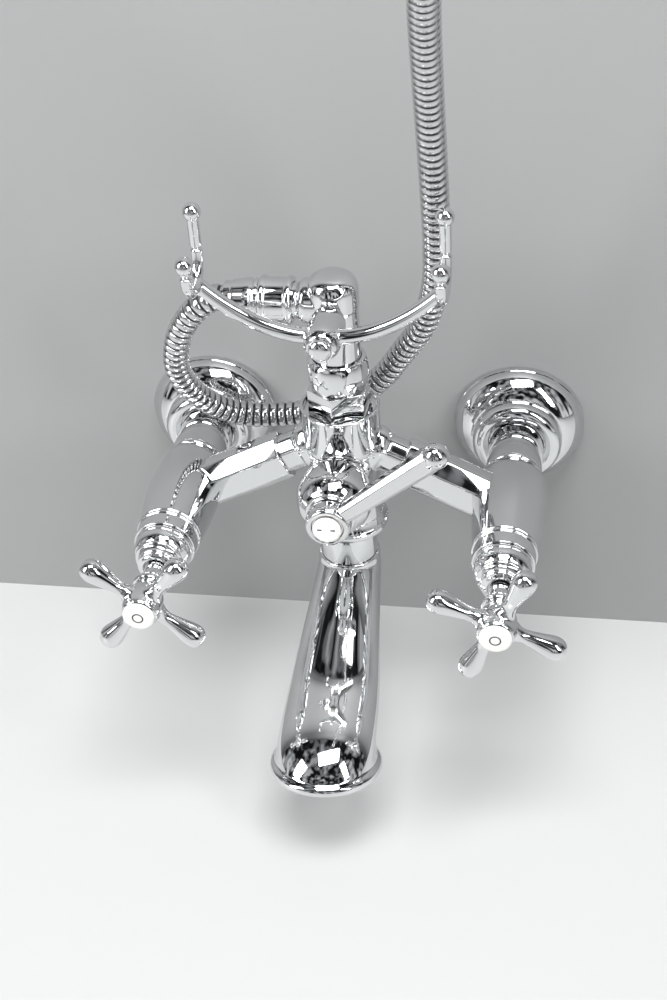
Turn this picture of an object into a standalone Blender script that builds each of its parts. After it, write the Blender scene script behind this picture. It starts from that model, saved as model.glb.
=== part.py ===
"""Wall mounted bath and shower mixer with two cross handles, a diverter lever, a swivel spout and a hose.

Frame: +Z up, +Y into the wall. The origin is on the finished wall, midway between the two inlets.
Lengths in this file are millimetres; MM turns them into metres when a mesh is made.
"""

import math

import bmesh
import bpy
from mathutils import Matrix, Vector

for old in list(bpy.data.objects):
    bpy.data.objects.remove(old, do_unlink=True)

MM = 0.001
FIT = 0.3  # gap left between two pieces that touch
SLIDE = 0.4  # radial clearance of a turning or sliding fit
TURNED_SIDES = 20
SMALL_SIDES = 12
LARGE_SIDES = 28
SPOUT_SIDES = 20
ARM_SIDES = 10

# Overall layout
INLET_HALF = 90.0  # half the distance between the two wall inlets
COLUMN_OUT = 77.0  # distance of the column's axis from the wall
DIVERTER_UP = 22.0  # height of the diverter's axis over the inlets
OUTLET_UP = 122.5  # height of the hose outlet's axis over the inlets

# Wall union, union nut and washer, hidden inside the flange
UNION_TAIL_R = 10.45
UNION_TAIL_LONG = 24.0
UNION_BORE_R = 7.0
UNION_HEX_AF = 27.0
UNION_HEX_END = 5.5
UNION_THREAD_R = 13.2
UNION_END = 15.0
WASHER_THICK = 2.0
WASHER_R = 12.0
NUT_AF = 30.0
NUT_LIP_THICK = 1.7
NUT_BACK = 6.2

# Wall flange
FLANGE_R = 37.25
FLANGE_RIM_THICK = 3.6
FLANGE_TORUS_R = 25.2
FLANGE_DEPTH = 26.4
FLANGE_WALL = 2.4

# Valve body
TAIL_FLANGE_THICK = 2.0
TAIL_R = 10.0
NECK_R = 15.5
NECK_END = 54.0
BARREL_R = 19.8
BARREL_WIDEST = 86.0
BARREL_END = 130.5
MOUTH_R = 16.4
CHAMBER_R = 13.5
CHAMBER_DEPTH = 30.5

# Headwork, bonnet, spindle and cross handle
CARTRIDGE_NECK_R = 10.0
CARTRIDGE_END = 138.0
BONNET_R = 15.5
BONNET_WALL = 1.9
BONNET_END = 149.4
SPINDLE_R = 4.1
SPINDLE_START = 106.0
HANDLE_BACK = 151.5
HANDLE_HUB_R = 10.0
HANDLE_FACE = 184.6
HANDLE_ARM_OUT = 176.0  # distance of the four arms from the wall
HANDLE_REACH = 31.5  # from the axis to the widest part of an arm's bulb
HANDLE_BULB_R = 6.2
LEDGE_THICK = 2.6
SCREW_R = 2.0
SCREW_HEAD_R = 4.9
SCREW_HEAD_THICK = 3.4
BUTTON_R = 8.2
BUTTON_THICK = 2.7
LEFT_HANDLE_TURN = 50.0
RIGHT_HANDLE_TURN = 65.0

# Centre body, its two arms and its cup
HUB_R = 19.6
COLLAR_R = 23.0
BODY_BOTTOM = -17.0
CUP_R = 21.0
CUP_WALL = 1.7
CUP_START = 34.0
CUP_FLOOR = 57.0
CUP_TOP = 61.0
WATERWAY_R = 8.0
BUSH_SOCKET_R = 11.0
BUSH_SOCKET_FLOOR = 34.0
ARM_SLOPE = 26.6
ARM_CENTRE_UP = 12.5  # height of an arm's centre line at ARM_CENTRE_AT
ARM_CENTRE_AT = 60.0
ARM_HALF_TALL = 12.6
ARM_HALF_DEEP = 11.0
ARM_START = 31.0
ARM_NECK_SCALE = 0.8

# Riser column and hose outlet
BUSH_AF = 30.0
BUSH_TURN = 24.5  # the hexagon stops wherever its thread is tight
BUSH_TOP = 73.0
COLUMN_NUT_WALL = 4.2
COLUMN_NUT_FLAT_WALL = 2.2
COLUMN_NUT_TURN = 51.6
COLUMN_NUT_TALL = 17.5
RISER_R = 12.8
RISER_BORE_R = 9.6
RISER_TOP = 138.5
OUTLET_STUB_R = 9.2
OUTLET_STUB_LONG = 17.5
OUTLET_NUT_R = 12.4
OUTLET_NUT_START = 20.0
OUTLET_NUT_LONG = 17.0
CONE_LONG = 18.0
CONE_END_R = 9.0

# Handset cradle
CRADLE_REACH = 33.0  # from the column's axis to the rods
CRADLE_UP = 120.0
CRADLE_BOSS_R = 9.5
CRADLE_ROD_R = 3.9
FORK_HALF = 60.0  # half the distance between the two forks
FORK_HALF_GAP = 12.0
FORK_ROD_R = 3.0
FORK_BALL_R = 4.6
FORK_BOTTOM_UP = 149.5
FORK_BACK_TIP_UP = 184.5
FORK_FRONT_TIP_UP = 168.5
FORK_AHEAD = 5.0  # how far the forks' centres stand out from the rods

# Diverter
DIVERTER_BOSS_R = 17.0
DIVERTER_BOSS_LONG = 21.0  # from the column's axis to the seat
DIVERTER_R = 20.0
DIVERTER_WIDEST_UP = 13.0  # from the seat to the dome's widest ring
DIVERTER_TALL = 27.6
LEVER_THICK = 9.8
LEVER_HUB_R = 12.0
LEVER_REACH = 72.0
LEVER_ANGLE = 39.0
LEVER_BALL_R = 7.0
LEVER_BUTTON_R = 7.4

# Swivel tube and spout
SWIVEL_R = 16.0
SWIVEL_TAIL_R = 12.6
SWIVEL_TAIL_TOP = -3.5
SWIVEL_BORE_R = 9.0
SPOUT_TOP = -38.0
SPOUT_SOCKET_DEPTH = 12.0
SPOUT_INLET_R = 17.4
SPOUT_END_R = 26.8
SPOUT_LIP_R = 30.3
SPOUT_WALL = 2.4
SPOUT_OUT = 184.0  # distance of the outlet's centre from the wall
SPOUT_DOWN = 96.0  # depth of the outlet's centre under the inlets
SPOUT_TILT = 13.0
AERATOR_R = 16.0
AERATOR_HOLE_R = 1.6

# Hose
HOSE_R = 7.0
HOSE_STEP = 11.0  # length of one segment of the hose's solid
HOSE_GRIP_GAP = 0.8  # clearance of the hose in its end fitting

FINISHES = {
    "chrome": ((0.80, 0.81, 0.82), 1.0, 0.05),
    "brass": ((0.66, 0.53, 0.29), 1.0, 0.35),
    "rubber": ((0.02, 0.02, 0.02), 0.0, 0.7),
    "steel": ((0.55, 0.56, 0.58), 1.0, 0.25),
    "white_plastic": ((0.80, 0.80, 0.78), 0.0, 0.4),
    "hose_metal": ((0.72, 0.73, 0.75), 1.0, 0.18),
}


def finish(node, kind):
    """Gives an object its own material of one of the finishes above."""
    colour, metallic, roughness = FINISHES[kind]
    material = bpy.data.materials.new(node.name + "_" + kind)
    material.use_nodes = True
    shader = material.node_tree.nodes["Principled BSDF"]
    shader.inputs["Base Color"].default_value = (*colour, 1.0)
    shader.inputs["Metallic"].default_value = metallic
    shader.inputs["Roughness"].default_value = roughness
    node.data.materials.append(material)
    return node


def as_node(name, bm, kind, place):
    """Makes an object from a bmesh in millimetres, set at a place given as a matrix in millimetres."""
    bmesh.ops.remove_doubles(bm, verts=bm.verts, dist=1e-4)
    bmesh.ops.recalc_face_normals(bm, faces=bm.faces)
    bmesh.ops.scale(bm, vec=(MM, MM, MM), verts=bm.verts)
    mesh = bpy.data.meshes.new(name)
    bm.to_mesh(mesh)
    bm.free()
    mesh.shade_smooth()
    mesh.set_sharp_from_angle(angle=math.radians(35))
    node = bpy.data.objects.new(name, mesh)
    bpy.context.collection.objects.link(node)
    node.location = place.to_translation() * MM
    node.rotation_euler = place.to_euler()
    return finish(node, kind)


def spun(bm, profile, sides):
    """Spins a profile of (radius, height) about Z. A profile that never meets the axis closes on itself."""
    verts = [bm.verts.new((radius, 0.0, height)) for radius, height in profile]
    edges = [bm.edges.new(pair) for pair in zip(verts, verts[1:])]
    if profile[0][0] > 0:
        edges.append(bm.edges.new((verts[-1], verts[0])))
    bmesh.ops.spin(
        bm,
        geom=verts + edges,
        cent=(0, 0, 0),
        axis=(0, 0, 1),
        angle=math.tau,
        steps=sides,
        use_merge=True,
    )
    bmesh.ops.remove_doubles(bm, verts=bm.verts, dist=1e-4)


def turned(name, profile, kind, place, sides=TURNED_SIDES):
    bm = bmesh.new()
    spun(bm, profile, sides)
    return as_node(name, bm, kind, place)


def skin(bm, rings, closed=False):
    """Joins rings of equal count into one skin, by extruding each ring's edges to the next ring."""
    verts = [bm.verts.new(point) for point in rings[0]]
    count = len(verts)
    edges = [bm.edges.new((verts[i], verts[(i + 1) % count])) for i in range(count)]
    first = list(edges)
    for ring in rings[1:] + ([rings[0]] if closed else []):
        order = {tuple(vert.co): index for index, vert in enumerate(verts)}
        made = bmesh.ops.extrude_edge_only(bm, edges=edges)["geom"]
        edges = [item for item in made if isinstance(item, bmesh.types.BMEdge)]
        edges = [edge for edge in edges if edge.is_boundary]
        fresh = [item for item in made if isinstance(item, bmesh.types.BMVert)]
        verts = [None] * count
        for vert in fresh:
            verts[order[tuple(vert.co)]] = vert
        for vert, point in zip(verts, ring):
            vert.co = point
    if closed:
        bmesh.ops.remove_doubles(bm, verts=bm.verts, dist=1e-4)
    else:
        bmesh.ops.contextual_create(bm, geom=first)
        bmesh.ops.contextual_create(bm, geom=edges)


def prism(bm, across_flats, low, high, turn=0.0):
    """A hexagonal prism about Z."""
    radius = across_flats / math.sqrt(3)
    corners = [math.radians(turn + 60 * i) for i in range(6)]
    ring = [(radius * math.cos(a), radius * math.sin(a)) for a in corners]
    skin(bm, [[Vector((x, y, z)) for x, y in ring] for z in (low, high)])


def tool(bm, place):
    """A guide solid for a Boolean, which is no part of the object."""
    bmesh.ops.remove_doubles(bm, verts=bm.verts, dist=1e-4)
    bmesh.ops.recalc_face_normals(bm, faces=bm.faces)
    bmesh.ops.transform(bm, matrix=place, verts=bm.verts)
    bmesh.ops.scale(bm, vec=(MM, MM, MM), verts=bm.verts)
    mesh = bpy.data.meshes.new("guide")
    bm.to_mesh(mesh)
    bm.free()
    guide = bpy.data.objects.new("guide", mesh)
    bpy.context.collection.objects.link(guide)
    guide.hide_render = True
    guide.display_type = "WIRE"
    return guide


def shaped(node, operation, guide):
    """Adds or cuts a guide solid with an exact Boolean."""
    modifier = node.modifiers.new(operation.lower(), "BOOLEAN")
    modifier.operation = operation
    modifier.solver = "EXACT"
    modifier.object = guide


def turned_tool(profile, place, sides=TURNED_SIDES):
    bm = bmesh.new()
    spun(bm, profile, sides)
    return tool(bm, place)


def outward(x, z, out=0.0):
    """A frame whose +Z points out of the wall, at height z and at x across the wall."""
    return Matrix.Translation((x, -out, z)) @ Matrix.Rotation(math.radians(90), 4, "X")


UPRIGHT = Matrix.Translation((0, -COLUMN_OUT, 0))


def radial(place, turn, up):
    """A frame with +Z along a radius of another frame, at an angle from its +X and a height along its +Z."""
    spin = Matrix.Rotation(math.radians(turn), 4, "Z")
    return place @ spin @ Matrix.Translation((0, 0, up)) @ Matrix.Rotation(math.radians(90), 4, "Y")


# Wall unions, washers, nuts and flanges, then the valves, one set on each inlet
washer_end = UNION_END + FIT + WASHER_THICK
tail_start = washer_end + FIT
tail_flange_end = tail_start + TAIL_FLANGE_THICK
nut_lip_start = tail_flange_end + FIT
nut_end = nut_lip_start + NUT_LIP_THICK
neck_start = nut_end + FIT
chamber_floor = BARREL_END - CHAMBER_DEPTH
mouth_end = BARREL_END + FIT
handle_ledge = HANDLE_FACE - 10.2
screw_seat = handle_ledge + LEDGE_THICK
spindle_end = handle_ledge - FIT
button_seat = HANDLE_FACE + FIT

union_profile = [
    (0, -UNION_TAIL_LONG),
    (UNION_TAIL_R - 1.2, -UNION_TAIL_LONG),
    (UNION_TAIL_R, -UNION_TAIL_LONG + 1.2),
    (UNION_TAIL_R, FIT),
    (UNION_THREAD_R, FIT),
    (UNION_THREAD_R, UNION_END),
    (0, UNION_END),
]
union_bore_profile = [
    (0, -UNION_TAIL_LONG - 1),
    (UNION_BORE_R, -UNION_TAIL_LONG - 1),
    (UNION_BORE_R, UNION_END + 1),
    (0, UNION_END + 1),
]
washer_profile = [
    (UNION_BORE_R + FIT, UNION_END + FIT),
    (WASHER_R, UNION_END + FIT),
    (WASHER_R, washer_end),
    (UNION_BORE_R + FIT, washer_end),
]
nut_bore_profile = [
    (0, NUT_BACK - 1),
    (UNION_THREAD_R + FIT, NUT_BACK - 1),
    (UNION_THREAD_R + FIT, nut_lip_start),
    (TAIL_R + SLIDE, nut_lip_start),
    (TAIL_R + SLIDE, nut_end + 1),
    (0, nut_end + 1),
]
flange_hole = NECK_R + SLIDE
nut_corner = NUT_AF / math.sqrt(3)
flange_profile = [
    (FLANGE_R - FLANGE_WALL - 0.3, 0),
    (FLANGE_R, 0),
    (FLANGE_R, FLANGE_RIM_THICK),
    (FLANGE_R - 1.4, FLANGE_RIM_THICK + 2.0),
    (FLANGE_R - 4.0, 8.8),
    (FLANGE_R - 7.6, 13.0),
    (FLANGE_R - 10.2, 17.0),
    (FLANGE_TORUS_R - 0.4, 18.0),
    (FLANGE_TORUS_R, 20.0),
    (FLANGE_TORUS_R - 0.6, FLANGE_DEPTH - 3.2),
    (FLANGE_TORUS_R - 2.6, FLANGE_DEPTH - 0.9),
    (FLANGE_TORUS_R - 5.4, FLANGE_DEPTH),
    (FLANGE_TORUS_R - 8.2, FLANGE_DEPTH - 1.2),
    (flange_hole, FLANGE_DEPTH - 2.2),
    (flange_hole, nut_end + FIT),
    (nut_corner + 2.2, nut_end + FIT),
    (nut_corner + 4.6, 14.5),
    (FLANGE_R - 9.4, 9.5),
    (FLANGE_R - FLANGE_WALL - 2.6, 4.5),
]
body_profile = [
    (UNION_BORE_R, tail_start),
    (WASHER_R + 0.2, tail_start),
    (WASHER_R + 0.2, tail_flange_end),
    (TAIL_R, tail_flange_end),
    (TAIL_R, neck_start),
    (NECK_R, neck_start),
    (NECK_R, NECK_END),
    (NECK_R + 1.0, NECK_END + 0.4),
    (NECK_R + 1.0, NECK_END + 1.8),
    (NECK_R + 0.4, NECK_END + 2.4),
    (BARREL_R - 2.6, NECK_END + 4.6),
    (BARREL_R - 1.2, NECK_END + 12.0),
    (BARREL_R - 0.3, BARREL_WIDEST - 10.0),
    (BARREL_R, BARREL_WIDEST),
    (BARREL_R - 0.5, BARREL_WIDEST + 11.0),
    (BARREL_R - 1.4, BARREL_WIDEST + 20.0),
    (BARREL_R - 2.7, BARREL_END - 11.0),
    (BARREL_R - 2.5, BARREL_END - 10.2),
    (BARREL_R - 2.5, BARREL_END - 8.6),
    (MOUTH_R, BARREL_END - 8.0),
    (MOUTH_R, BARREL_END),
    (CHAMBER_R, BARREL_END),
    (CHAMBER_R, chamber_floor),
    (UNION_BORE_R + 1.5, chamber_floor),
    (UNION_BORE_R, chamber_floor - 30.0),
]
cartridge_profile = [
    (SPINDLE_R + SLIDE, chamber_floor + FIT),
    (CHAMBER_R - FIT, chamber_floor + FIT),
    (CHAMBER_R - FIT, BARREL_END - 3.0),
    (CARTRIDGE_NECK_R, BARREL_END - 3.0),
    (CARTRIDGE_NECK_R, CARTRIDGE_END),
    (SPINDLE_R + SLIDE, CARTRIDGE_END),
]
bonnet_inner = BONNET_R - BONNET_WALL
bonnet_profile = [
    (bonnet_inner, mouth_end),
    (BONNET_R, mouth_end),
    (BONNET_R, mouth_end + 2.6),
    (BONNET_R - 0.7, mouth_end + 5.6),
    (BONNET_R - 1.9, mouth_end + 8.4),
    (BONNET_R - 2.9, mouth_end + 10.0),
    (BONNET_R - 2.6, mouth_end + 11.0),
    (BONNET_R - 3.4, mouth_end + 12.4),
    (BONNET_R - 5.0, mouth_end + 13.8),
    (BONNET_R - 5.3, mouth_end + 15.0),
    (BONNET_R - 5.3, BONNET_END - 1.8),
    (BONNET_R - 6.6, BONNET_END - 0.5),
    (BONNET_R - 8.6, BONNET_END),
    (SPINDLE_R + SLIDE, BONNET_END),
    (SPINDLE_R + SLIDE, CARTRIDGE_END + 5.0),
    (CARTRIDGE_NECK_R - 1.6, CARTRIDGE_END + 3.6),
    (CARTRIDGE_NECK_R + SLIDE, CARTRIDGE_END + FIT),
    (bonnet_inner, mouth_end + 3.0),
]
spindle_profile = [
    (0, SPINDLE_START),
    (SPINDLE_R, SPINDLE_START),
    (SPINDLE_R, spindle_end),
    (SCREW_R + FIT, spindle_end),
    (SCREW_R + FIT, spindle_end - 10.0),
    (0, spindle_end - 10.0),
]
screw_profile = [
    (0, spindle_end - 8.0),
    (SCREW_R, spindle_end - 8.0),
    (SCREW_R, screw_seat + FIT),
    (SCREW_HEAD_R, screw_seat + FIT),
    (SCREW_HEAD_R, screw_seat + FIT + SCREW_HEAD_THICK),
    (0, screw_seat + FIT + SCREW_HEAD_THICK),
]
handle_profile = [
    (SPINDLE_R + FIT, HANDLE_BACK),
    (SPINDLE_R + 1.5, HANDLE_BACK),
    (SPINDLE_R + 1.5, HANDLE_BACK + 5.5),
    (SPINDLE_R + 2.5, HANDLE_BACK + 8.5),
    (HANDLE_HUB_R - 1.4, HANDLE_BACK + 10.5),
    (HANDLE_HUB_R - 1.4, HANDLE_BACK + 12.5),
    (HANDLE_HUB_R - 2.4, HANDLE_BACK + 13.7),
    (HANDLE_HUB_R - 1.2, HANDLE_ARM_OUT - 8.0),
    (HANDLE_HUB_R, HANDLE_ARM_OUT - 5.0),
    (HANDLE_HUB_R, HANDLE_ARM_OUT + 4.5),
    (HANDLE_HUB_R - 0.6, HANDLE_ARM_OUT + 7.0),
    (BUTTON_R + 0.5, HANDLE_FACE),
    (SCREW_HEAD_R + SLIDE, HANDLE_FACE),
    (SCREW_HEAD_R + SLIDE, screw_seat),
    (SCREW_R + SLIDE, screw_seat),
    (SCREW_R + SLIDE, handle_ledge),
    (SPINDLE_R + FIT, handle_ledge),
]
handle_arm_profile = [
    (0, HANDLE_HUB_R - 3.2),
    (3.6, HANDLE_HUB_R - 3.2),
    (3.3, HANDLE_HUB_R + 2.5),
    (3.5, HANDLE_REACH - 15.5),
    (4.3, HANDLE_REACH - 11.5),
    (5.3, HANDLE_REACH - 6.5),
    (HANDLE_BULB_R - 0.2, HANDLE_REACH - 2.5),
    (HANDLE_BULB_R, HANDLE_REACH),
    (HANDLE_BULB_R * 0.86, HANDLE_REACH + HANDLE_BULB_R * 0.55),
    (HANDLE_BULB_R * 0.5, HANDLE_REACH + HANDLE_BULB_R * 0.9),
    (0, HANDLE_REACH + HANDLE_BULB_R),
]
button_profile = [
    (0, screw_seat + 2 * FIT + SCREW_HEAD_THICK),
    (SCREW_HEAD_R, screw_seat + 2 * FIT + SCREW_HEAD_THICK),
    (SCREW_HEAD_R, button_seat),
    (BUTTON_R, button_seat),
    (BUTTON_R, button_seat + BUTTON_THICK - 1.2),
    (BUTTON_R - 1.0, button_seat + BUTTON_THICK),
    (0, button_seat + BUTTON_THICK),
]

for side, sign, turn in (("left", -1, LEFT_HANDLE_TURN), ("right", 1, RIGHT_HANDLE_TURN)):
    inlet = outward(sign * INLET_HALF, 0)
    union = turned("wall_union_" + side, union_profile, "brass", inlet)
    bm = bmesh.new()
    prism(bm, UNION_HEX_AF, FIT, UNION_HEX_END)
    shaped(union, "UNION", tool(bm, inlet))
    shaped(union, "DIFFERENCE", turned_tool(union_bore_profile, inlet))
    turned("union_washer_" + side, washer_profile, "rubber", inlet)
    bm = bmesh.new()
    prism(bm, NUT_AF, NUT_BACK, nut_end)
    nut = as_node("union_nut_" + side, bm, "chrome", inlet)
    shaped(nut, "DIFFERENCE", turned_tool(nut_bore_profile, inlet))
    turned("wall_flange_" + side, flange_profile, "chrome", inlet, LARGE_SIDES)
    turned("valve_body_" + side, body_profile, "chrome", inlet)
    turned("cartridge_" + side, cartridge_profile, "brass", inlet, SMALL_SIDES)
    turned("bonnet_" + side, bonnet_profile, "chrome", inlet)
    turned("spindle_" + side, spindle_profile, "chrome", inlet, SMALL_SIDES)
    turned("handle_screw_" + side, screw_profile, "steel", inlet, SMALL_SIDES)
    handle = turned("cross_handle_" + side, handle_profile, "chrome", inlet)
    for quarter in range(4):
        place = radial(inlet, turn + 90 * quarter, HANDLE_ARM_OUT)
        shaped(handle, "UNION", turned_tool(handle_arm_profile, place, ARM_SIDES))
    turned("handle_button_" + side, button_profile, "white_plastic", inlet)


# Centre body: hub, cup, diverter boss and the two sloping arms that meet the valves
def arm_ring(at, scale):
    """The eight-sided section of an arm, square to its slope, `at` that distance from the column's axis."""
    deep = ARM_HALF_DEEP * scale
    tall = ARM_HALF_TALL * scale
    section = [
        (0.35, 1.0),
        (1.0, 0.42),
        (1.0, -0.62),
        (0.6, -1.0),
        (-0.6, -1.0),
        (-1.0, -0.62),
        (-1.0, 0.42),
        (-0.35, 1.0),
    ]
    slope = math.radians(ARM_SLOPE)
    centre = ARM_CENTRE_UP + (ARM_CENTRE_AT - at) * math.tan(slope)
    points = []
    for front, up in section:
        x = at + up * tall * math.sin(slope)
        z = centre + up * tall * math.cos(slope)
        points.append(Vector((x, -COLUMN_OUT - front * deep, z)))
    return points


cup_inner = CUP_R - CUP_WALL
hub_profile = [
    (0, BODY_BOTTOM),
    (COLLAR_R - 1.0, BODY_BOTTOM),
    (COLLAR_R, BODY_BOTTOM + 1.2),
    (COLLAR_R, BODY_BOTTOM + 3.2),
    (COLLAR_R - 0.8, BODY_BOTTOM + 4.6),
    (COLLAR_R - 3.0, BODY_BOTTOM + 8.0),
    (HUB_R, BODY_BOTTOM + 13.0),
    (HUB_R - 0.4, DIVERTER_UP - 14.0),
    (HUB_R, DIVERTER_UP),
    (HUB_R, CUP_START),
    (CUP_R - 0.6, CUP_START + 2.0),
    (CUP_R, CUP_START + 3.2),
    (CUP_R, CUP_TOP - 1.4),
    (CUP_R - 0.5, CUP_TOP),
    (0, CUP_TOP),
]
body = turned("centre_body", hub_profile, "chrome", UPRIGHT, LARGE_SIDES)
arm_end = INLET_HALF - 1.0
mirror_x = Matrix.Scale(-1, 4, (1, 0, 0))
for sign in (-1, 1):
    bm = bmesh.new()
    inner = arm_ring(HUB_R - 5.0, ARM_NECK_SCALE)
    step = arm_ring(ARM_START, ARM_NECK_SCALE)
    skin(bm, [inner, step, arm_ring(ARM_START + 1.0, 1.0), arm_ring(arm_end, 1.0)])
    if sign < 0:
        bmesh.ops.transform(bm, matrix=mirror_x, verts=bm.verts)
    shaped(body, "UNION", tool(bm, Matrix.Identity(4)))
diverter_axis = outward(0, DIVERTER_UP)
diverter_seat = COLUMN_OUT + DIVERTER_BOSS_LONG
boss_profile = [
    (0, COLUMN_OUT),
    (DIVERTER_BOSS_R, COLUMN_OUT),
    (DIVERTER_BOSS_R, diverter_seat),
    (0, diverter_seat),
]
shaped(body, "UNION", turned_tool(boss_profile, diverter_axis))
hollow_profile = [
    (0, BODY_BOTTOM - 1),
    (SWIVEL_TAIL_R + SLIDE, BODY_BOTTOM - 1),
    (SWIVEL_TAIL_R + SLIDE, SWIVEL_TAIL_TOP + FIT),
    (WATERWAY_R, SWIVEL_TAIL_TOP + FIT),
    (WATERWAY_R, BUSH_SOCKET_FLOOR),
    (BUSH_SOCKET_R, BUSH_SOCKET_FLOOR),
    (BUSH_SOCKET_R, CUP_FLOOR),
    (cup_inner, CUP_FLOOR),
    (cup_inner, CUP_TOP + 1),
    (0, CUP_TOP + 1),
]
shaped(body, "DIFFERENCE", turned_tool(hollow_profile, UPRIGHT, LARGE_SIDES))
diverter_bore = [
    (0, COLUMN_OUT),
    (SPINDLE_R + SLIDE, COLUMN_OUT),
    (SPINDLE_R + SLIDE, diverter_seat + 1),
    (0, diverter_seat + 1),
]
shaped(body, "DIFFERENCE", turned_tool(diverter_bore, diverter_axis, SMALL_SIDES))
barrel_clearance = [
    (0, NECK_END),
    (BARREL_R - 2.6 + FIT, NECK_END + 4.0),
    (BARREL_R - 1.2 + FIT, NECK_END + 11.6),
    (BARREL_R - 0.3 + FIT, BARREL_WIDEST - 10.4),
    (BARREL_R + FIT, BARREL_WIDEST),
    (BARREL_R - 0.5 + FIT, BARREL_WIDEST + 11.0),
    (BARREL_R - 1.4 + FIT, BARREL_WIDEST + 20.0),
    (0, BARREL_WIDEST + 21.0),
]
for sign in (-1, 1):
    shaped(body, "DIFFERENCE", turned_tool(barrel_clearance, outward(sign * INLET_HALF, 0)))

# Riser: hexagonal bush in the cup, union nut, elbow with its side outlet
bm = bmesh.new()
prism(bm, BUSH_AF, CUP_FLOOR + FIT, BUSH_TOP, BUSH_TURN)
bush = as_node("riser_bush", bm, "chrome", UPRIGHT)
stem = [
    (0, BUSH_SOCKET_FLOOR + FIT),
    (BUSH_SOCKET_R - FIT, BUSH_SOCKET_FLOOR + FIT),
    (BUSH_SOCKET_R - FIT, CUP_FLOOR + 2.0),
    (0, CUP_FLOOR + 2.0),
]
shaped(bush, "UNION", turned_tool(stem, UPRIGHT))
bush_bore = [
    (0, BUSH_SOCKET_FLOOR - 1),
    (WATERWAY_R - 1.0, BUSH_SOCKET_FLOOR - 1),
    (WATERWAY_R - 1.0, BUSH_TOP + 1),
    (0, BUSH_TOP + 1),
]
shaped(bush, "DIFFERENCE", turned_tool(bush_bore, UPRIGHT))

nut_low = BUSH_TOP + FIT
nut_high = nut_low + COLUMN_NUT_TALL
column_nut_r = RISER_R + COLUMN_NUT_WALL
column_nut_flats = 2 * (RISER_R + COLUMN_NUT_FLAT_WALL)
column_nut_profile = [
    (RISER_R + FIT, nut_low),
    (column_nut_r - 2.2, nut_low),
    (column_nut_r - 0.6, nut_low + 4.2),
    (column_nut_r, nut_low + 8.4),
    (column_nut_r - 0.6, nut_high - 4.8),
    (column_nut_r - 2.2, nut_high - 0.8),
    (column_nut_r - 2.8, nut_high),
    (RISER_R + FIT, nut_high),
]
column_nut = turned("column_nut", column_nut_profile, "chrome", UPRIGHT, 30)
bm = bmesh.new()
prism(bm, column_nut_flats, nut_low - 1, nut_high + 1, COLUMN_NUT_TURN)
shaped(column_nut, "INTERSECT", tool(bm, UPRIGHT))

riser_low = nut_low
riser_profile = [
    (0, riser_low + 1.0),
    (RISER_R, riser_low + 1.0),
    (RISER_R, RISER_TOP - 19.0),
    (RISER_R + 0.6, RISER_TOP - 17.5),
    (RISER_R + 0.6, RISER_TOP - 8.0),
    (RISER_R - 1.4, RISER_TOP - 3.6),
    (RISER_R - 5.6, RISER_TOP - 0.8),
    (0, RISER_TOP),
]
riser = turned("riser_elbow", riser_profile, "chrome", UPRIGHT)
outlet_axis = Matrix.Translation((0, -COLUMN_OUT, OUTLET_UP)) @ Matrix.Rotation(math.radians(-90), 4, "Y")
stub_end = OUTLET_NUT_START + OUTLET_STUB_LONG - 5.0
stub_profile = [
    (0, 2.0),
    (RISER_R - 1.0, 2.0),
    (RISER_R - 1.0, OUTLET_NUT_START - 6.0),
    (RISER_R - 2.4, OUTLET_NUT_START - 3.6),
    (OUTLET_STUB_R, OUTLET_NUT_START - 3.0),
    (OUTLET_STUB_R, stub_end),
    (0, stub_end),
]
shaped(riser, "UNION", turned_tool(stub_profile, outlet_axis))
riser_bore = [
    (0, riser_low - 1),
    (RISER_BORE_R, riser_low - 1),
    (RISER_BORE_R, OUTLET_UP + 4.0),
    (0, OUTLET_UP + 7.0),
]
shaped(riser, "DIFFERENCE", turned_tool(riser_bore, UPRIGHT, SMALL_SIDES))
outlet_bore = [
    (0, 1.0),
    (OUTLET_STUB_R - 3.0, 1.0),
    (OUTLET_STUB_R - 3.0, stub_end + 1),
    (0, stub_end + 1),
]
shaped(riser, "DIFFERENCE", turned_tool(outlet_bore, outlet_axis, SMALL_SIDES))

nut_start = OUTLET_NUT_START
nut_stop = nut_start + OUTLET_NUT_LONG
outlet_nut_profile = [
    (OUTLET_STUB_R + FIT, nut_start),
    (OUTLET_NUT_R - 0.8, nut_start),
    (OUTLET_NUT_R, nut_start + 0.9),
    (OUTLET_NUT_R, nut_stop - 0.9),
    (OUTLET_NUT_R - 0.8, nut_stop),
    (OUTLET_STUB_R + FIT, nut_stop),
]
turned("outlet_nut", outlet_nut_profile, "chrome", outlet_axis)
hose_washer_profile = [
    (OUTLET_STUB_R - 3.0, stub_end + FIT),
    (OUTLET_STUB_R, stub_end + FIT),
    (OUTLET_STUB_R, stub_end + FIT + 2.0),
    (OUTLET_STUB_R - 3.0, stub_end + FIT + 2.0),
]
turned("hose_washer", hose_washer_profile, "rubber", outlet_axis, SMALL_SIDES)
cone_start = nut_stop + FIT
cone_stop = cone_start + CONE_LONG
cone_profile = [
    (0, cone_start),
    (OUTLET_NUT_R - 1.6, cone_start),
    (OUTLET_NUT_R - 1.4, cone_start + 4.0),
    (CONE_END_R + 0.8, cone_stop - 5.0),
    (CONE_END_R, cone_stop),
    (HOSE_R + HOSE_GRIP_GAP, cone_stop),
    (HOSE_R + HOSE_GRIP_GAP, cone_stop - 3.0),
    (0, cone_stop - 3.0),
]
turned("hose_cone", cone_profile, "chrome", outlet_axis)

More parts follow.
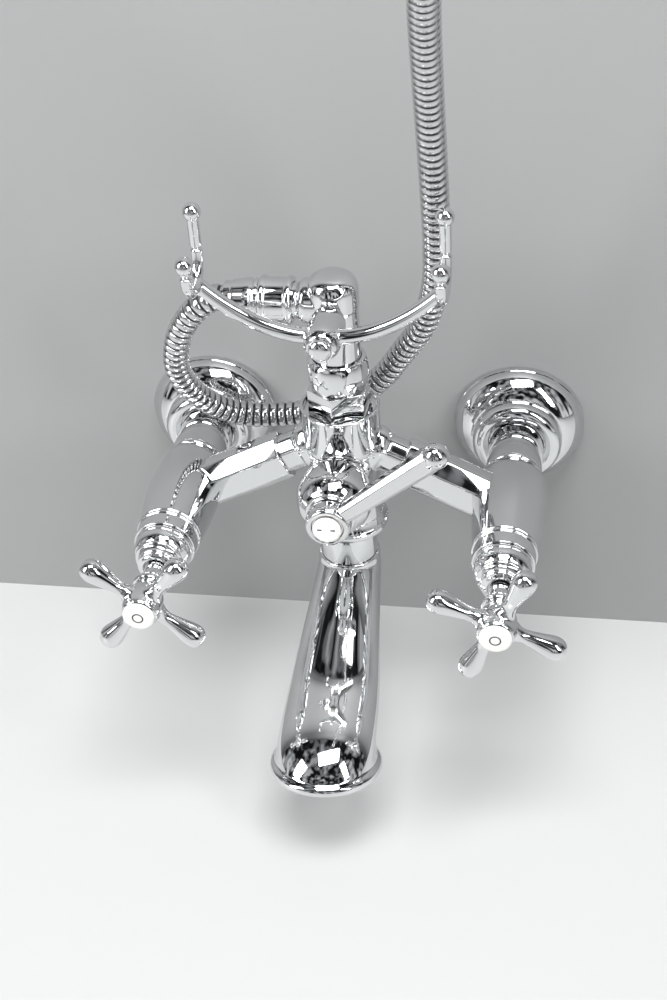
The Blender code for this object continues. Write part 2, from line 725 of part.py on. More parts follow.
# Handset cradle: a boss on the front of the riser, two bowed rods and a fork at each end
cradle_axis = outward(0, CRADLE_UP)
cradle_out = COLUMN_OUT + CRADLE_REACH
boss_back = COLUMN_OUT + RISER_R + 0.6 + FIT
cradle_screw_seat = cradle_out + CRADLE_BOSS_R * 0.9
cradle_profile = [
    (0, boss_back),
    (CRADLE_BOSS_R - 1.5, boss_back),
    (CRADLE_BOSS_R - 0.4, boss_back + 3.0),
    (CRADLE_BOSS_R, cradle_out - 3.0),
    (CRADLE_BOSS_R, cradle_out + 2.0),
    (CRADLE_BOSS_R - 1.4, cradle_out + 6.0),
    (CRADLE_BOSS_R - 3.0, cradle_screw_seat),
    (0, cradle_screw_seat),
]
cradle = turned("handset_cradle", cradle_profile, "chrome", cradle_axis)


def rod_rings(path, radius, sides):
    """Round sections along a path of points, each square to the path."""
    rings = []
    for index, point in enumerate(path):
        ahead = path[min(index + 1, len(path) - 1)]
        behind = path[max(index - 1, 0)]
        along = (ahead - behind).normalized()
        across = along.cross(Vector((0, 1, 0)) if abs(along.y) < 0.8 else Vector((1, 0, 0))).normalized()
        other = along.cross(across)
        angles = [math.tau * i / sides for i in range(sides)]
        rings.append([point + radius * (math.cos(a) * across + math.sin(a) * other) for a in angles])
    return rings


for sign in (-1, 1):
    rod = []
    for step_index in range(7):
        share = step_index / 6
        rise = (FORK_BOTTOM_UP - CRADLE_UP - 2.0) * share**2
        rod.append(Vector((sign * (4.0 + (FORK_HALF - 4.0) * share), -cradle_out, CRADLE_UP + 2.0 + rise)))
    bm = bmesh.new()
    skin(bm, rod_rings(rod, CRADLE_ROD_R, 8))
    shaped(cradle, "UNION", tool(bm, Matrix.Identity(4)))
    fork = []
    fork_out = cradle_out + FORK_AHEAD
    straight = FORK_BOTTOM_UP + FORK_HALF_GAP
    fork.append(Vector((sign * FORK_HALF, -fork_out + FORK_HALF_GAP, FORK_BACK_TIP_UP)))
    for step_index in range(7):
        angle = math.pi * step_index / 6
        out = fork_out - FORK_HALF_GAP * math.cos(angle)
        fork.append(Vector((sign * FORK_HALF, -out, straight - FORK_HALF_GAP * math.sin(angle))))
    fork.append(Vector((sign * FORK_HALF, -fork_out - FORK_HALF_GAP, FORK_FRONT_TIP_UP)))
    bm = bmesh.new()
    skin(bm, rod_rings(fork, FORK_ROD_R, 8))
    shaped(cradle, "UNION", tool(bm, Matrix.Identity(4)))
    for end in (fork[0], fork[-1]):
        bm = bmesh.new()
        bmesh.ops.create_uvsphere(bm, u_segments=10, v_segments=6, radius=FORK_BALL_R)
        shaped(cradle, "UNION", tool(bm, Matrix.Translation(end)))
cradle_bore = [
    (0, boss_back - 1),
    (SCREW_R + SLIDE, boss_back - 1),
    (SCREW_R + SLIDE, cradle_screw_seat + 1),
    (0, cradle_screw_seat + 1),
]
shaped(cradle, "DIFFERENCE", turned_tool(cradle_bore, cradle_axis, SMALL_SIDES))
cradle_screw_profile = [
    (0, boss_back + 0.6),
    (SCREW_R, boss_back + 0.6),
    (SCREW_R, cradle_screw_seat + FIT),
    (CRADLE_BOSS_R - 3.6, cradle_screw_seat + FIT),
    (CRADLE_BOSS_R - 3.8, cradle_screw_seat + FIT + 1.8),
    (CRADLE_BOSS_R - 6.0, cradle_screw_seat + FIT + 3.4),
    (0, cradle_screw_seat + FIT + 3.9),
]
turned("cradle_screw", cradle_screw_profile, "chrome", cradle_axis, SMALL_SIDES)

# Diverter: domed bonnet, spindle, lever with a ball end, and its button
seat = diverter_seat + FIT
diverter_widest = diverter_seat + DIVERTER_WIDEST_UP
diverter_face = diverter_seat + DIVERTER_TALL
lever_face = diverter_face + LEVER_THICK
diverter_bonnet_profile = [
    (SPINDLE_R + SLIDE, seat),
    (DIVERTER_BOSS_R + 0.6, seat),
    (DIVERTER_R - 0.6, seat + 4.0),
    (DIVERTER_R, diverter_widest),
    (DIVERTER_R - 0.9, diverter_widest + 5.0),
    (DIVERTER_R - 3.2, diverter_widest + 9.6),
    (LEVER_HUB_R + 0.8, diverter_face - 1.2),
    (LEVER_HUB_R + 0.4, diverter_face),
    (SPINDLE_R + SLIDE, diverter_face),
]
turned("diverter_bonnet", diverter_bonnet_profile, "chrome", diverter_axis)
lever_ledge = lever_face - 6.0
diverter_spindle_profile = [
    (0, COLUMN_OUT + 5.0),
    (SPINDLE_R, COLUMN_OUT + 5.0),
    (SPINDLE_R, lever_ledge - FIT),
    (SCREW_R + FIT, lever_ledge - FIT),
    (SCREW_R + FIT, lever_ledge - 10.0),
    (0, lever_ledge - 10.0),
]
turned("diverter_spindle", diverter_spindle_profile, "chrome", diverter_axis, SMALL_SIDES)
lever_back = diverter_face + FIT
lever_hub_profile = [
    (SPINDLE_R + FIT, lever_back),
    (LEVER_HUB_R, lever_back),
    (LEVER_HUB_R + 0.2, lever_face - 4.0),
    (LEVER_HUB_R - 0.6, lever_face - 1.0),
    (LEVER_HUB_R - 1.8, lever_face),
    (SCREW_HEAD_R + SLIDE, lever_face),
    (SCREW_HEAD_R + SLIDE, lever_ledge + 2.0),
    (SCREW_R + SLIDE, lever_ledge + 2.0),
    (SCREW_R + SLIDE, lever_ledge),
    (SPINDLE_R + FIT, lever_ledge),
]
lever = turned("diverter_lever", lever_hub_profile, "chrome", diverter_axis)


def lever_ring(reach, half_wide, half_deep, out):
    """A rounded rectangular section of the lever's limb, square to its length, in the lever's own frame."""
    ring = []
    for index in range(12):
        angle = math.tau * (index + 0.5) / 12
        wide = math.copysign(abs(math.cos(angle)) ** 0.6, math.cos(angle)) * half_wide
        deep = math.copysign(abs(math.sin(angle)) ** 0.6, math.sin(angle)) * half_deep
        ring.append(Vector((reach, wide, out + deep)))
    return ring


lever_place = diverter_axis @ Matrix.Rotation(math.radians(LEVER_ANGLE), 4, "Z")
lever_mid = (lever_back + lever_face) / 2
bm = bmesh.new()
limb = [
    lever_ring(7.5, 4.2, 3.4, lever_mid),
    lever_ring(22.0, 5.0, 3.9, lever_mid - 0.3),
    lever_ring(44.0, 5.9, 4.6, lever_mid - 0.8),
    lever_ring(LEVER_REACH - 4.0, 6.4, 5.2, lever_mid - 1.2),
]
skin(bm, limb)
shaped(lever, "UNION", tool(bm, lever_place))
bm = bmesh.new()
bmesh.ops.create_uvsphere(bm, u_segments=14, v_segments=8, radius=LEVER_BALL_R)
shaped(lever, "UNION", tool(bm, lever_place @ Matrix.Translation((LEVER_REACH, 0, lever_mid - 1.2))))
lever_screw_profile = [
    (0, lever_ledge - 8.0),
    (SCREW_R, lever_ledge - 8.0),
    (SCREW_R, lever_ledge + 2.0 + FIT),
    (SCREW_HEAD_R, lever_ledge + 2.0 + FIT),
    (SCREW_HEAD_R, lever_face - 1.0),
    (0, lever_face - 1.0),
]
turned("lever_screw", lever_screw_profile, "steel", diverter_axis, SMALL_SIDES)
lever_button_profile = [
    (0, lever_face - 1.0 + FIT),
    (SCREW_HEAD_R, lever_face - 1.0 + FIT),
    (SCREW_HEAD_R, lever_face + FIT),
    (LEVER_BUTTON_R, lever_face + FIT),
    (LEVER_BUTTON_R, lever_face + FIT + 1.4),
    (LEVER_BUTTON_R - 1.0, lever_face + FIT + 2.4),
    (0, lever_face + FIT + 2.4),
]
turned("lever_button", lever_button_profile, "white_plastic", diverter_axis)

# Swivel tube and spout
swivel_low = SPOUT_TOP - SPOUT_SOCKET_DEPTH + 2.0
groove_mid = (SWIVEL_TAIL_TOP + BODY_BOTTOM) / 2
swivel_profile = [
    (SWIVEL_BORE_R, swivel_low),
    (SWIVEL_TAIL_R, swivel_low),
    (SWIVEL_TAIL_R, SPOUT_TOP + FIT),
    (SWIVEL_R, SPOUT_TOP + FIT),
    (SWIVEL_R, BODY_BOTTOM - FIT),
    (SWIVEL_TAIL_R, BODY_BOTTOM - FIT),
    (SWIVEL_TAIL_R, groove_mid - 1.5),
    (SWIVEL_TAIL_R - 2.0, groove_mid - 1.5),
    (SWIVEL_TAIL_R - 2.0, groove_mid + 1.5),
    (SWIVEL_TAIL_R, groove_mid + 1.5),
    (SWIVEL_TAIL_R, SWIVEL_TAIL_TOP),
    (SWIVEL_BORE_R, SWIVEL_TAIL_TOP),
]
turned("spout_swivel", swivel_profile, "chrome", UPRIGHT)
ring_inner = SWIVEL_TAIL_R - 2.0 + FIT
ring_outer = SWIVEL_TAIL_R + SLIDE - FIT / 3
o_ring_profile = [
    (ring_inner, groove_mid - 1.1),
    (ring_outer, groove_mid - 1.1),
    (ring_outer, groove_mid + 1.1),
    (ring_inner, groove_mid + 1.1),
]
turned("spout_seal", o_ring_profile, "rubber", UPRIGHT)

outlet_reach = SPOUT_OUT - COLUMN_OUT


def spout_ring(reach, down, lean, half_wide, half_tall, inset=0.0):
    """A section of the spout. It faces down at lean 0 and away from the wall at lean 90."""
    up = Vector((0, -math.cos(math.radians(lean)), math.sin(math.radians(lean))))
    centre = Vector((0, -reach, -down))
    ring = []
    for index in range(SPOUT_SIDES):
        angle = math.tau * index / SPOUT_SIDES
        side = (half_wide - inset) * math.cos(angle)
        rise = (half_tall - inset) * math.sin(angle)
        ring.append(centre + Vector((side, 0, 0)) + rise * up)
    return ring


neck_down = -SPOUT_TOP
spout_fall = SPOUT_DOWN - neck_down
spout_stations = [
    (0.0, neck_down, 0, SPOUT_INLET_R - 1.0, SPOUT_INLET_R - 1.0),
    (0.0, neck_down + 1.8, 0, SPOUT_INLET_R, SPOUT_INLET_R),
    (1.0, neck_down + 8.0, 20, SPOUT_INLET_R + 0.5, SPOUT_INLET_R - 0.2),
    (7.0, neck_down + 12.4, 50, SPOUT_INLET_R + 1.0, 14.8),
    (17.0, neck_down + 16.5, 62, SPOUT_INLET_R + 1.8, 13.8),
    (32.0, neck_down + spout_fall * 0.39, 64, SPOUT_INLET_R + 3.2, 13.5),
    (49.0, neck_down + spout_fall * 0.53, 64, SPOUT_INLET_R + 5.2, 13.3),
    (outlet_reach - 40.0, SPOUT_DOWN - 18.4, 64, SPOUT_END_R - 2.2, 13.0),
    (outlet_reach - 28.0, SPOUT_DOWN - 14.0, 60, SPOUT_END_R - 1.2, 13.9),
    (outlet_reach - 16.0, SPOUT_DOWN - 11.4, 45, SPOUT_END_R - 0.8, 17.2),
    (outlet_reach - 6.0, SPOUT_DOWN - 8.4, 25, SPOUT_END_R - 0.4, 22.6),
    (outlet_reach - 1.0, SPOUT_DOWN - 4.0, SPOUT_TILT, SPOUT_END_R, SPOUT_END_R - 0.2),
    (outlet_reach, SPOUT_DOWN - 1.0, SPOUT_TILT, SPOUT_END_R + 1.7, SPOUT_END_R + 1.6),
    (outlet_reach + 0.6, SPOUT_DOWN + 1.5, SPOUT_TILT, SPOUT_LIP_R, SPOUT_LIP_R),
    (outlet_reach + 1.2, SPOUT_DOWN + 4.0, SPOUT_TILT, SPOUT_LIP_R, SPOUT_LIP_R),
]
outer = [spout_ring(*station) for station in spout_stations]
mouth = spout_ring(*spout_stations[-1][:3], SPOUT_END_R - SPOUT_WALL, SPOUT_END_R - SPOUT_WALL)
recess = spout_ring(*spout_stations[-4][:3], SPOUT_END_R - SPOUT_WALL, SPOUT_END_R - SPOUT_WALL)
inner = [spout_ring(*station, SPOUT_WALL) for station in spout_stations[4:-4]]
socket_r = SWIVEL_TAIL_R + FIT
socket = [
    spout_ring(0, neck_down + SPOUT_SOCKET_DEPTH, 0, socket_r, socket_r),
    spout_ring(0, neck_down, 0, socket_r, socket_r),
]
bm = bmesh.new()
skin(bm, outer + [mouth, recess] + inner[::-1] + socket, closed=True)
as_node("spout", bm, "chrome", UPRIGHT)

tilt = Matrix.Rotation(math.radians(-SPOUT_TILT), 4, "X")
outlet_face = UPRIGHT @ Matrix.Translation((0, -outlet_reach - 0.6, -SPOUT_DOWN - 1.5)) @ tilt
insert_r = SPOUT_END_R - SPOUT_WALL - FIT
aerator_plate_profile = [
    (AERATOR_R + SLIDE, -1.0),
    (insert_r, -1.0),
    (insert_r, 2.0),
    (AERATOR_R + SLIDE, 2.0),
]
turned("aerator_plate", aerator_plate_profile, "chrome", outlet_face)
bm = bmesh.new()
spun(bm, [(0, -1.6), (AERATOR_R, -1.6), (AERATOR_R, 2.0), (0, 2.0)], TURNED_SIDES)
aerator = as_node("aerator", bm, "white_plastic", outlet_face)
hole = [(0, -3.0), (AERATOR_HOLE_R, -3.0), (AERATOR_HOLE_R, 4.0), (0, 4.0)]
for count, circle in ((4, AERATOR_R * 0.3), (8, AERATOR_R * 0.7)):
    for index in range(count):
        spot = Matrix.Rotation(math.tau * index / count, 4, "Z") @ Matrix.Translation((circle, 0, 0))
        shaped(aerator, "DIFFERENCE", turned_tool(hole, outlet_face @ spot, 6))

# Hose: from the cone, round behind the column, then up and away from the wall
hose_start = -(cone_stop - 3.0 + HOSE_GRIP_GAP)
hose_route = [
    (hose_start, -COLUMN_OUT, OUTLET_UP),
    (hose_start - 9.0, -COLUMN_OUT, OUTLET_UP - 0.4),
    (-73, -77, 114),
    (-84, -74, 96),
    (-89, -66, 70),
    (-81, -56, 46),
    (-61, -48, 31),
    (-30, -44, 30),
    (-6, -45, 38),
    (17, -50, 58),
    (32, -56, 81),
    (44, -63, 103),
    (51, -71, 130),
    (53, -78, 156),
    (53.5, -86, 182),
    (54, -97, 212),
    (55, -115, 248),
    (57, -140, 288),
    (59, -157, 312),
    (60, -165, 323),
]


def through(points, step):
    """Points every `step` along a Catmull-Rom curve through the route."""
    route = [Vector(point) for point in points]
    route = [2 * route[0] - route[1]] + route + [2 * route[-1] - route[-2]]
    fine = []
    for a, b, c, d in zip(route, route[1:], route[2:], route[3:]):
        for part in range(12):
            t = part / 12
            cubic = 2 * b + (c - a) * t + (2 * a - 5 * b + 4 * c - d) * t**2
            fine.append(0.5 * (cubic + (3 * b - a - 3 * c + d) * t**3))
    fine.append(route[-2])
    lengths = [0.0]
    for before, after in zip(fine, fine[1:]):
        lengths.append(lengths[-1] + (after - before).length)
    count = round(lengths[-1] / step)
    even = []
    index = 0
    for number in range(count + 1):
        target = lengths[-1] * number / count
        while index < len(fine) - 2 and lengths[index + 1] < target:
            index += 1
        span = lengths[index + 1] - lengths[index]
        even.append(fine[index].lerp(fine[index + 1], (target - lengths[index]) / span))
    return even


hose_points = through(hose_route, HOSE_STEP)
curve = bpy.data.curves.new("hose", "CURVE")
curve.dimensions = "3D"
curve.bevel_depth = HOSE_R * MM
curve.bevel_resolution = 2
curve.use_fill_caps = True
spline = curve.splines.new("POLY")
spline.points.add(len(hose_points) - 1)
for spot, point in zip(spline.points, hose_points):
    spot.co = (*(point * MM), 1.0)
hose = bpy.data.objects.new("hose", curve)
bpy.context.collection.objects.link(hose)
finish(hose, "hose_metal")

end_way = (hose_points[-1] - hose_points[-2]).normalized()
end_place = Matrix.Translation(hose_points[-1]) @ end_way.to_track_quat("Z", "Y").to_matrix().to_4x4()
end_nut_profile = [
    (0, FIT),
    (CONE_END_R, FIT),
    (CONE_END_R + 0.8, 5.0),
    (OUTLET_NUT_R - 1.0, 16.0),
    (OUTLET_NUT_R, 19.0),
    (OUTLET_NUT_R, 30.0),
    (OUTLET_NUT_R - 0.8, 31.0),
    (OUTLET_STUB_R, 31.0),
    (OUTLET_STUB_R, 20.0),
    (0, 20.0),
]
turned("hose_end_nut", end_nut_profile, "chrome", end_place)
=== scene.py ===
import math

import bmesh
import bpy
from mathutils import Matrix, Vector


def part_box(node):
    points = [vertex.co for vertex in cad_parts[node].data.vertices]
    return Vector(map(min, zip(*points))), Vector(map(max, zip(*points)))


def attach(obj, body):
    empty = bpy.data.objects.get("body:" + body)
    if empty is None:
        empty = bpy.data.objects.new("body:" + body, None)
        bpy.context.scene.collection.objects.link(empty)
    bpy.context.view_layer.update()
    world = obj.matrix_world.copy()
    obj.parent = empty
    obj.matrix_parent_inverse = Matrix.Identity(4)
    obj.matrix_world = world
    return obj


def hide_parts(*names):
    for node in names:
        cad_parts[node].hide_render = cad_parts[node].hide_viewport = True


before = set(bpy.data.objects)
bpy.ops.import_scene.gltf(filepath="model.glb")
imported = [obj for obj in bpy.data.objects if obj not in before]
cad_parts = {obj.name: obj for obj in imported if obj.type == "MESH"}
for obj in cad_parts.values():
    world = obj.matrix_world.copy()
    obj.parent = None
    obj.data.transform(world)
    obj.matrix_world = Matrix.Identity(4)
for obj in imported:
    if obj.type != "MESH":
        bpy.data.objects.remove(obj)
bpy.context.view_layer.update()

# The view of a person who stands over the bath and looks down on the mixer, a little from its right.
# The lens is a short telephoto, so the four-armed handles keep their shape.
CAMERA_AT = (0.1298, -0.7518, 0.5260)
CAMERA_TURNS = (52.307, 3.348, 8.901)
camera_data = bpy.data.cameras.new("view")
camera_data.lens = 56.62
camera_data.sensor_width = 36.0
camera = bpy.data.objects.new("view", camera_data)
camera.location = CAMERA_AT
camera.rotation_euler = [math.radians(angle) for angle in CAMERA_TURNS]
bpy.context.scene.collection.objects.link(camera)
bpy.context.scene.camera = camera


# The shower hose: a chromed steel strip wound into a round-ribbed tube over a rubber liner. It leaves the
# conical nut at the side of the riser, hangs in a loop behind the column and climbs to the hand shower,
# which something above the view holds. Sizes here and below are in millimetres, and MM makes them metres.
MM = 0.001
RIB_PITCH = 4.7
RIB_SHAPE = [
    (0.00, 5.4),
    (0.10, 5.4),
    (0.13, 6.5),
    (0.20, 6.88),
    (0.32, 7.0),
    (0.56, 7.0),
    (0.74, 6.9),
    (0.86, 6.5),
    (0.90, 5.4),
]  # share of the pitch and radius: a broad rolled ridge and the narrow groove beside it
HOSE_SIDES = 24
HOSE_ROUTE = [
    (-53.1, -77, 122.5),
    (-62.1, -77, 122.1),
    (-73, -77, 114),
    (-84, -74, 96),
    (-89, -66, 70),
    (-81, -56, 46),
    (-61, -48, 31),
    (-30, -44, 30),
    (-6, -45, 38),
    (17, -50, 58),
    (32, -56, 81),
    (44, -63, 103),
    (51, -71, 130),
    (53, -78, 156),
    (53.5, -86, 182),
    (54, -97, 212),
    (55, -115, 248),
    (57, -140, 288),
    (59, -157, 312),
    (60, -165, 323),
]


SPAN_PARTS = 12  # straight pieces in each span of a curve, before its points are spaced evenly
CURVE_STEP = 0.6
CORNER_PARTS = 4
CORNER_SHARE = 0.45  # the most that a broken corner takes of the run beside it
WELD_GAP = 1e-4
CREASE = math.radians(38)


def through(points, step):
    """Points about `step` apart along a smooth curve that passes through all the points given."""
    route = [Vector(point) for point in points]
    route = [2 * route[0] - route[1]] + route + [2 * route[-1] - route[-2]]
    fine = []
    for a, b, c, d in zip(route, route[1:], route[2:], route[3:]):
        for part in range(SPAN_PARTS):
            t = part / SPAN_PARTS
            cubic = 2 * b + (c - a) * t + (2 * a - 5 * b + 4 * c - d) * t**2
            fine.append(0.5 * (cubic + (3 * b - a - 3 * c + d) * t**3))
    fine.append(route[-2])
    lengths = [0.0]
    for before, after in zip(fine, fine[1:]):
        lengths.append(lengths[-1] + (after - before).length)
    count = max(2, round(lengths[-1] / step))
    even = []
    index = 0
    for number in range(count + 1):
        target = lengths[-1] * number / count
        while index < len(fine) - 2 and lengths[index + 1] < target:
            index += 1
        span = lengths[index + 1] - lengths[index]
        even.append(fine[index].lerp(fine[index + 1], (target - lengths[index]) / span))
    return even


def outline(start, *runs, edge=0.5):
    """The (radius, height) outline of a turned piece. A run of one point is straight, a longer one a smooth
    curve, and the corners between runs are broken to a small round of about `edge`."""
    last = Vector(start)
    paths = []
    for run in runs:
        points = [last] + [Vector(point) for point in run]
        paths.append(through(points, CURVE_STEP) if len(points) > 2 else points)
        last = points[-1]
    line = [paths[0][0]]
    for before, after in zip(paths, paths[1:]):
        corner = after[0]
        enter = corner.lerp(before[-2], min(CORNER_SHARE, edge / (corner - before[-2]).length))
        leave = corner.lerp(after[1], min(CORNER_SHARE, edge / (corner - after[1]).length))
        line += before[1:-1]
        for part in range(CORNER_PARTS + 1):
            t = part / CORNER_PARTS
            line.append(enter.lerp(corner, t).lerp(corner.lerp(leave, t), t))
    return line + paths[-1][1:]


def turned(line, place=Matrix.Identity(4), steps=96):
    """A solid turned on a lathe: the outline spun about Z, then set in place."""
    bm = bmesh.new()
    verts = [bm.verts.new((radius, 0.0, height)) for radius, height in line]
    edges = [bm.edges.new(pair) for pair in zip(verts, verts[1:])]
    if line[0][0] > 0:
        edges.append(bm.edges.new((verts[-1], verts[0])))
    bmesh.ops.spin(
        bm,
        geom=verts + edges,
        cent=(0, 0, 0),
        axis=(0, 0, 1),
        angle=math.tau,
        steps=steps,
        use_merge=True,
    )
    bmesh.ops.remove_doubles(bm, verts=bm.verts, dist=WELD_GAP)
    bmesh.ops.transform(bm, matrix=place, verts=bm.verts)
    return bm


def finished(name, material, *shells):
    """One object of the bmeshes given, in metres, with smooth surfaces and crisp edges."""
    whole = bmesh.new()
    for shell in shells:
        bmesh.ops.recalc_face_normals(shell, faces=shell.faces)
        bmesh.ops.scale(shell, vec=(MM, MM, MM), verts=shell.verts)
        part = bpy.data.meshes.new("part")
        shell.to_mesh(part)
        shell.free()
        whole.from_mesh(part)
        bpy.data.meshes.remove(part)
    mesh = bpy.data.meshes.new(name)
    whole.to_mesh(mesh)
    whole.free()
    mesh.shade_smooth()
    mesh.set_sharp_from_angle(angle=CREASE)
    mesh.materials.append(material)
    piece = bpy.data.objects.new(name, mesh)
    bpy.context.scene.collection.objects.link(piece)
    return piece


def node(tree, kind, inputs=None, **settings):
    """Adds one shader node: settings are its properties, inputs its sockets' values or what feeds them."""
    made = tree.nodes.new(kind)
    for name, value in settings.items():
        setattr(made, name, value)
    for name, value in (inputs or {}).items():
        if isinstance(value, bpy.types.NodeSocket):
            tree.links.new(value, made.inputs[name])
        else:
            made.inputs[name].default_value = value
    return made


def linear(code):
    """An sRGB hex colour as linear red, green, blue and alpha."""
    parts = [int(code[i : i + 2], 16) / 255 for i in (1, 3, 5)]
    return [c / 12.92 if c <= 0.04045 else ((c + 0.055) / 1.055) ** 2.4 for c in parts] + [1.0]


def surface(name):
    """A new material, its node tree and its shader."""
    material = bpy.data.materials.new(name)
    material.use_nodes = True
    tree = material.node_tree
    return material, tree, tree.nodes["Principled BSDF"]


def raised(tree, shader, pattern, strength, height_mm):
    """Relief on a surface: the pattern's white stands that many millimetres above its black."""
    bump = node(
        tree,
        "ShaderNodeBump",
        {"Height": pattern, "Strength": strength, "Distance": height_mm * MM},
    )
    tree.links.new(bump.outputs["Normal"], shader.inputs["Normal"])


def plated(name, code, smooth, dull, ripple_mm):
    """Chrome plate on metal: a mirror whose roughness drifts with handling film and dried drops, over the
    slow ripple that a polishing wheel leaves."""
    material, tree, shader = surface(name)
    shader.inputs["Base Color"].default_value = linear(code)
    shader.inputs["Metallic"].default_value = 1.0
    place = node(tree, "ShaderNodeTexCoord").outputs["Object"]
    film = node(tree, "ShaderNodeTexNoise", {"Vector": place, "Scale": 70.0, "Detail": 4.0})
    drops = node(tree, "ShaderNodeTexVoronoi", {"Vector": place, "Scale": 240.0})
    ring = node(
        tree,
        "ShaderNodeMapRange",
        {"Value": drops.outputs["Distance"], "From Max": 0.16, "To Min": 0.05, "To Max": 0.0},
    )
    drift = node(
        tree,
        "ShaderNodeMapRange",
        {
            "Value": film.outputs["Fac"],
            "From Min": 0.35,
            "From Max": 0.75,
            "To Min": smooth,
            "To Max": dull,
        },
    )
    total = node(
        tree,
        "ShaderNodeMath",
        {0: drift.outputs["Result"], 1: ring.outputs["Result"]},
        operation="ADD",
    )
    tree.links.new(total.outputs["Value"], shader.inputs["Roughness"])
    wave = node(tree, "ShaderNodeTexNoise", {"Vector": place, "Scale": 55.0, "Detail": 1.0})
    raised(tree, shader, wave.outputs["Fac"], 1.0, ripple_mm)
    return material


chrome = plated("polished_chrome_plate_on_brass", "#DEDFE0", 0.025, 0.07, 0.05)
hose_steel = plated("chromed_wound_steel_strip", "#CFD0D1", 0.08, 0.16, 0.02)

path = through(HOSE_ROUTE, 2.75)
along = [0.0]
for before, after in zip(path, path[1:]):
    along.append(along[-1] + (after - before).length)
sides = [Vector((0, 1, 0))]
for before, after in zip(path, path[1:]):
    way = (after - before).normalized()
    sides.append((sides[-1] - sides[-1].dot(way) * way).normalized())
sides[0] = sides[1]


def bent(bm):
    """Lays a straight piece, which stands on Z, along the hose's path without twist."""
    spot = 0
    for vert in sorted(bm.verts, key=lambda v: v.co.z):
        while spot < len(path) - 2 and along[spot + 1] < vert.co.z:
            spot += 1
        share = (vert.co.z - along[spot]) / (along[spot + 1] - along[spot])
        centre = path[spot].lerp(path[spot + 1], share)
        ahead = (path[min(spot + 2, len(path) - 1)] - path[spot + 1]).normalized()
        here = (path[spot + 1] - path[spot]).normalized()
        behind = (path[spot] - path[max(spot - 1, 0)]).normalized()
        way = (here + behind).lerp(here + (ahead if ahead.length else here), share).normalized()
        side = sides[spot].lerp(sides[spot + 1], share)
        side = (side - side.dot(way) * way).normalized()
        vert.co = centre + vert.co.x * side + vert.co.y * way.cross(side)


rib_count = round(along[-1] / RIB_PITCH)
pitch = along[-1] / rib_count
sleeve = [(0.0, 0.0)]
for rib in range(rib_count):
    for share, radius in RIB_SHAPE:
        sleeve.append((radius, (rib + share) * pitch))
sleeve.append((0.0, along[-1]))
tube = turned(sleeve, steps=HOSE_SIDES)
bent(tube)
hose = finished("hose_sleeve", hose_steel, tube)
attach(hose, "mixer")
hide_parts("hose")

# The hose has a real rubber liner inside, but this one stands wider than the strip's groove floor, so a
# near-black ring fills each groove: painted shade in the grooves. Moulded rubber is dull and nearly black.
rubber, tree, shader = surface("moulded_nitrile_rubber")
shader.inputs["Base Color"].default_value = linear("#1B1B1C")
shader.inputs["Roughness"].default_value = 0.6
place = node(tree, "ShaderNodeTexCoord").outputs["Object"]
grain = node(tree, "ShaderNodeTexNoise", {"Vector": place, "Scale": 900.0, "Detail": 4.0})
raised(tree, shader, grain.outputs["Fac"], 0.4, 0.05)
# Painted shade: the liner's radius lies between the groove floor and the ridges, so its dark rubber shows in
# every groove.
LINER_GROOVE_SHADE_R = 6.1
LINER_END = 0.8
LINER_STEPS = 300
liner_step = (along[-1] - 2 * LINER_END) / LINER_STEPS
liner_line = [(LINER_GROOVE_SHADE_R, LINER_END + liner_step * count) for count in range(LINER_STEPS + 1)]
liner_groove_shade_tube = turned([(0.0, LINER_END)] + liner_line + [(0.0, along[-1] - LINER_END)], steps=HOSE_SIDES)
bent(liner_groove_shade_tube)
liner_groove_shade = finished("hose_liner_groove_shade", rubber, liner_groove_shade_tube)
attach(liner_groove_shade, "mixer")


def outward(x, z):
    """A frame on the wall whose +Z points out of it, at x across and z up."""
    return Matrix.Translation((x, 0, z)) @ Matrix.Rotation(math.radians(90), 4, "X")


inlet_x = (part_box("wall_flange_right")[1][0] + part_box("wall_flange_right")[0][0]) / 2 / MM
column_out = -(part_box("column_nut")[1][1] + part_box("column_nut")[0][1]) / 2 / MM
outlet_up = (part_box("outlet_nut")[1][2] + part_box("outlet_nut")[0][2]) / 2 / MM
diverter_up = (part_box("diverter_bonnet")[1][2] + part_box("diverter_bonnet")[0][2]) / 2 / MM
upright = Matrix.Translation((0, -column_out, 0))
outlet_axis = Matrix.Translation((0, -column_out, outlet_up)) @ Matrix.Rotation(math.radians(-90), 4, "Y")

cone = finished(
    "hose_cone_nut",
    chrome,
    turned(
        outline(
            (0, 37.3),
            [(10.8, 37.3)],
            [(11.0, 39.4)],
            [(10.3, 39.9)],
            [(10.3, 41.0)],
            [(11.0, 41.5)],
            [(10.8, 44.0), (10.3, 47.0), (9.8, 50.0)],
            [(9.8, 51.0)],
            [(9.1, 51.6)],
            [(9.0, 55.3)],
            [(7.8, 55.3)],
            [(7.8, 52.3)],
            [(0, 52.3)],
        ),
        outlet_axis,
    ),
)
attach(cone, "mixer")
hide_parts("hose_cone")
end_way = (path[-1] - path[-5]).normalized()
end_place = Matrix.Translation(path[-1]) @ end_way.to_track_quat("Z", "Y").to_matrix().to_4x4()
end_nut = finished(
    "hose_handset_nut",
    chrome,
    turned(
        outline(
            (0, 0.3),
            [(9.0, 0.3)],
            [(9.1, 4.0)],
            [(9.8, 4.6)],
            [(10.4, 9.0), (11.0, 14.0), (11.5, 17.6)],
            [(12.2, 19.0)],
            [(12.4, 30.2)],
            [(11.6, 31.0)],
            [(9.2, 31.0)],
            [(9.2, 20.0)],
            [(0, 20.0)],
        ),
        end_place,
    ),
)
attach(end_nut, "mixer")
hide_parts("hose_end_nut")


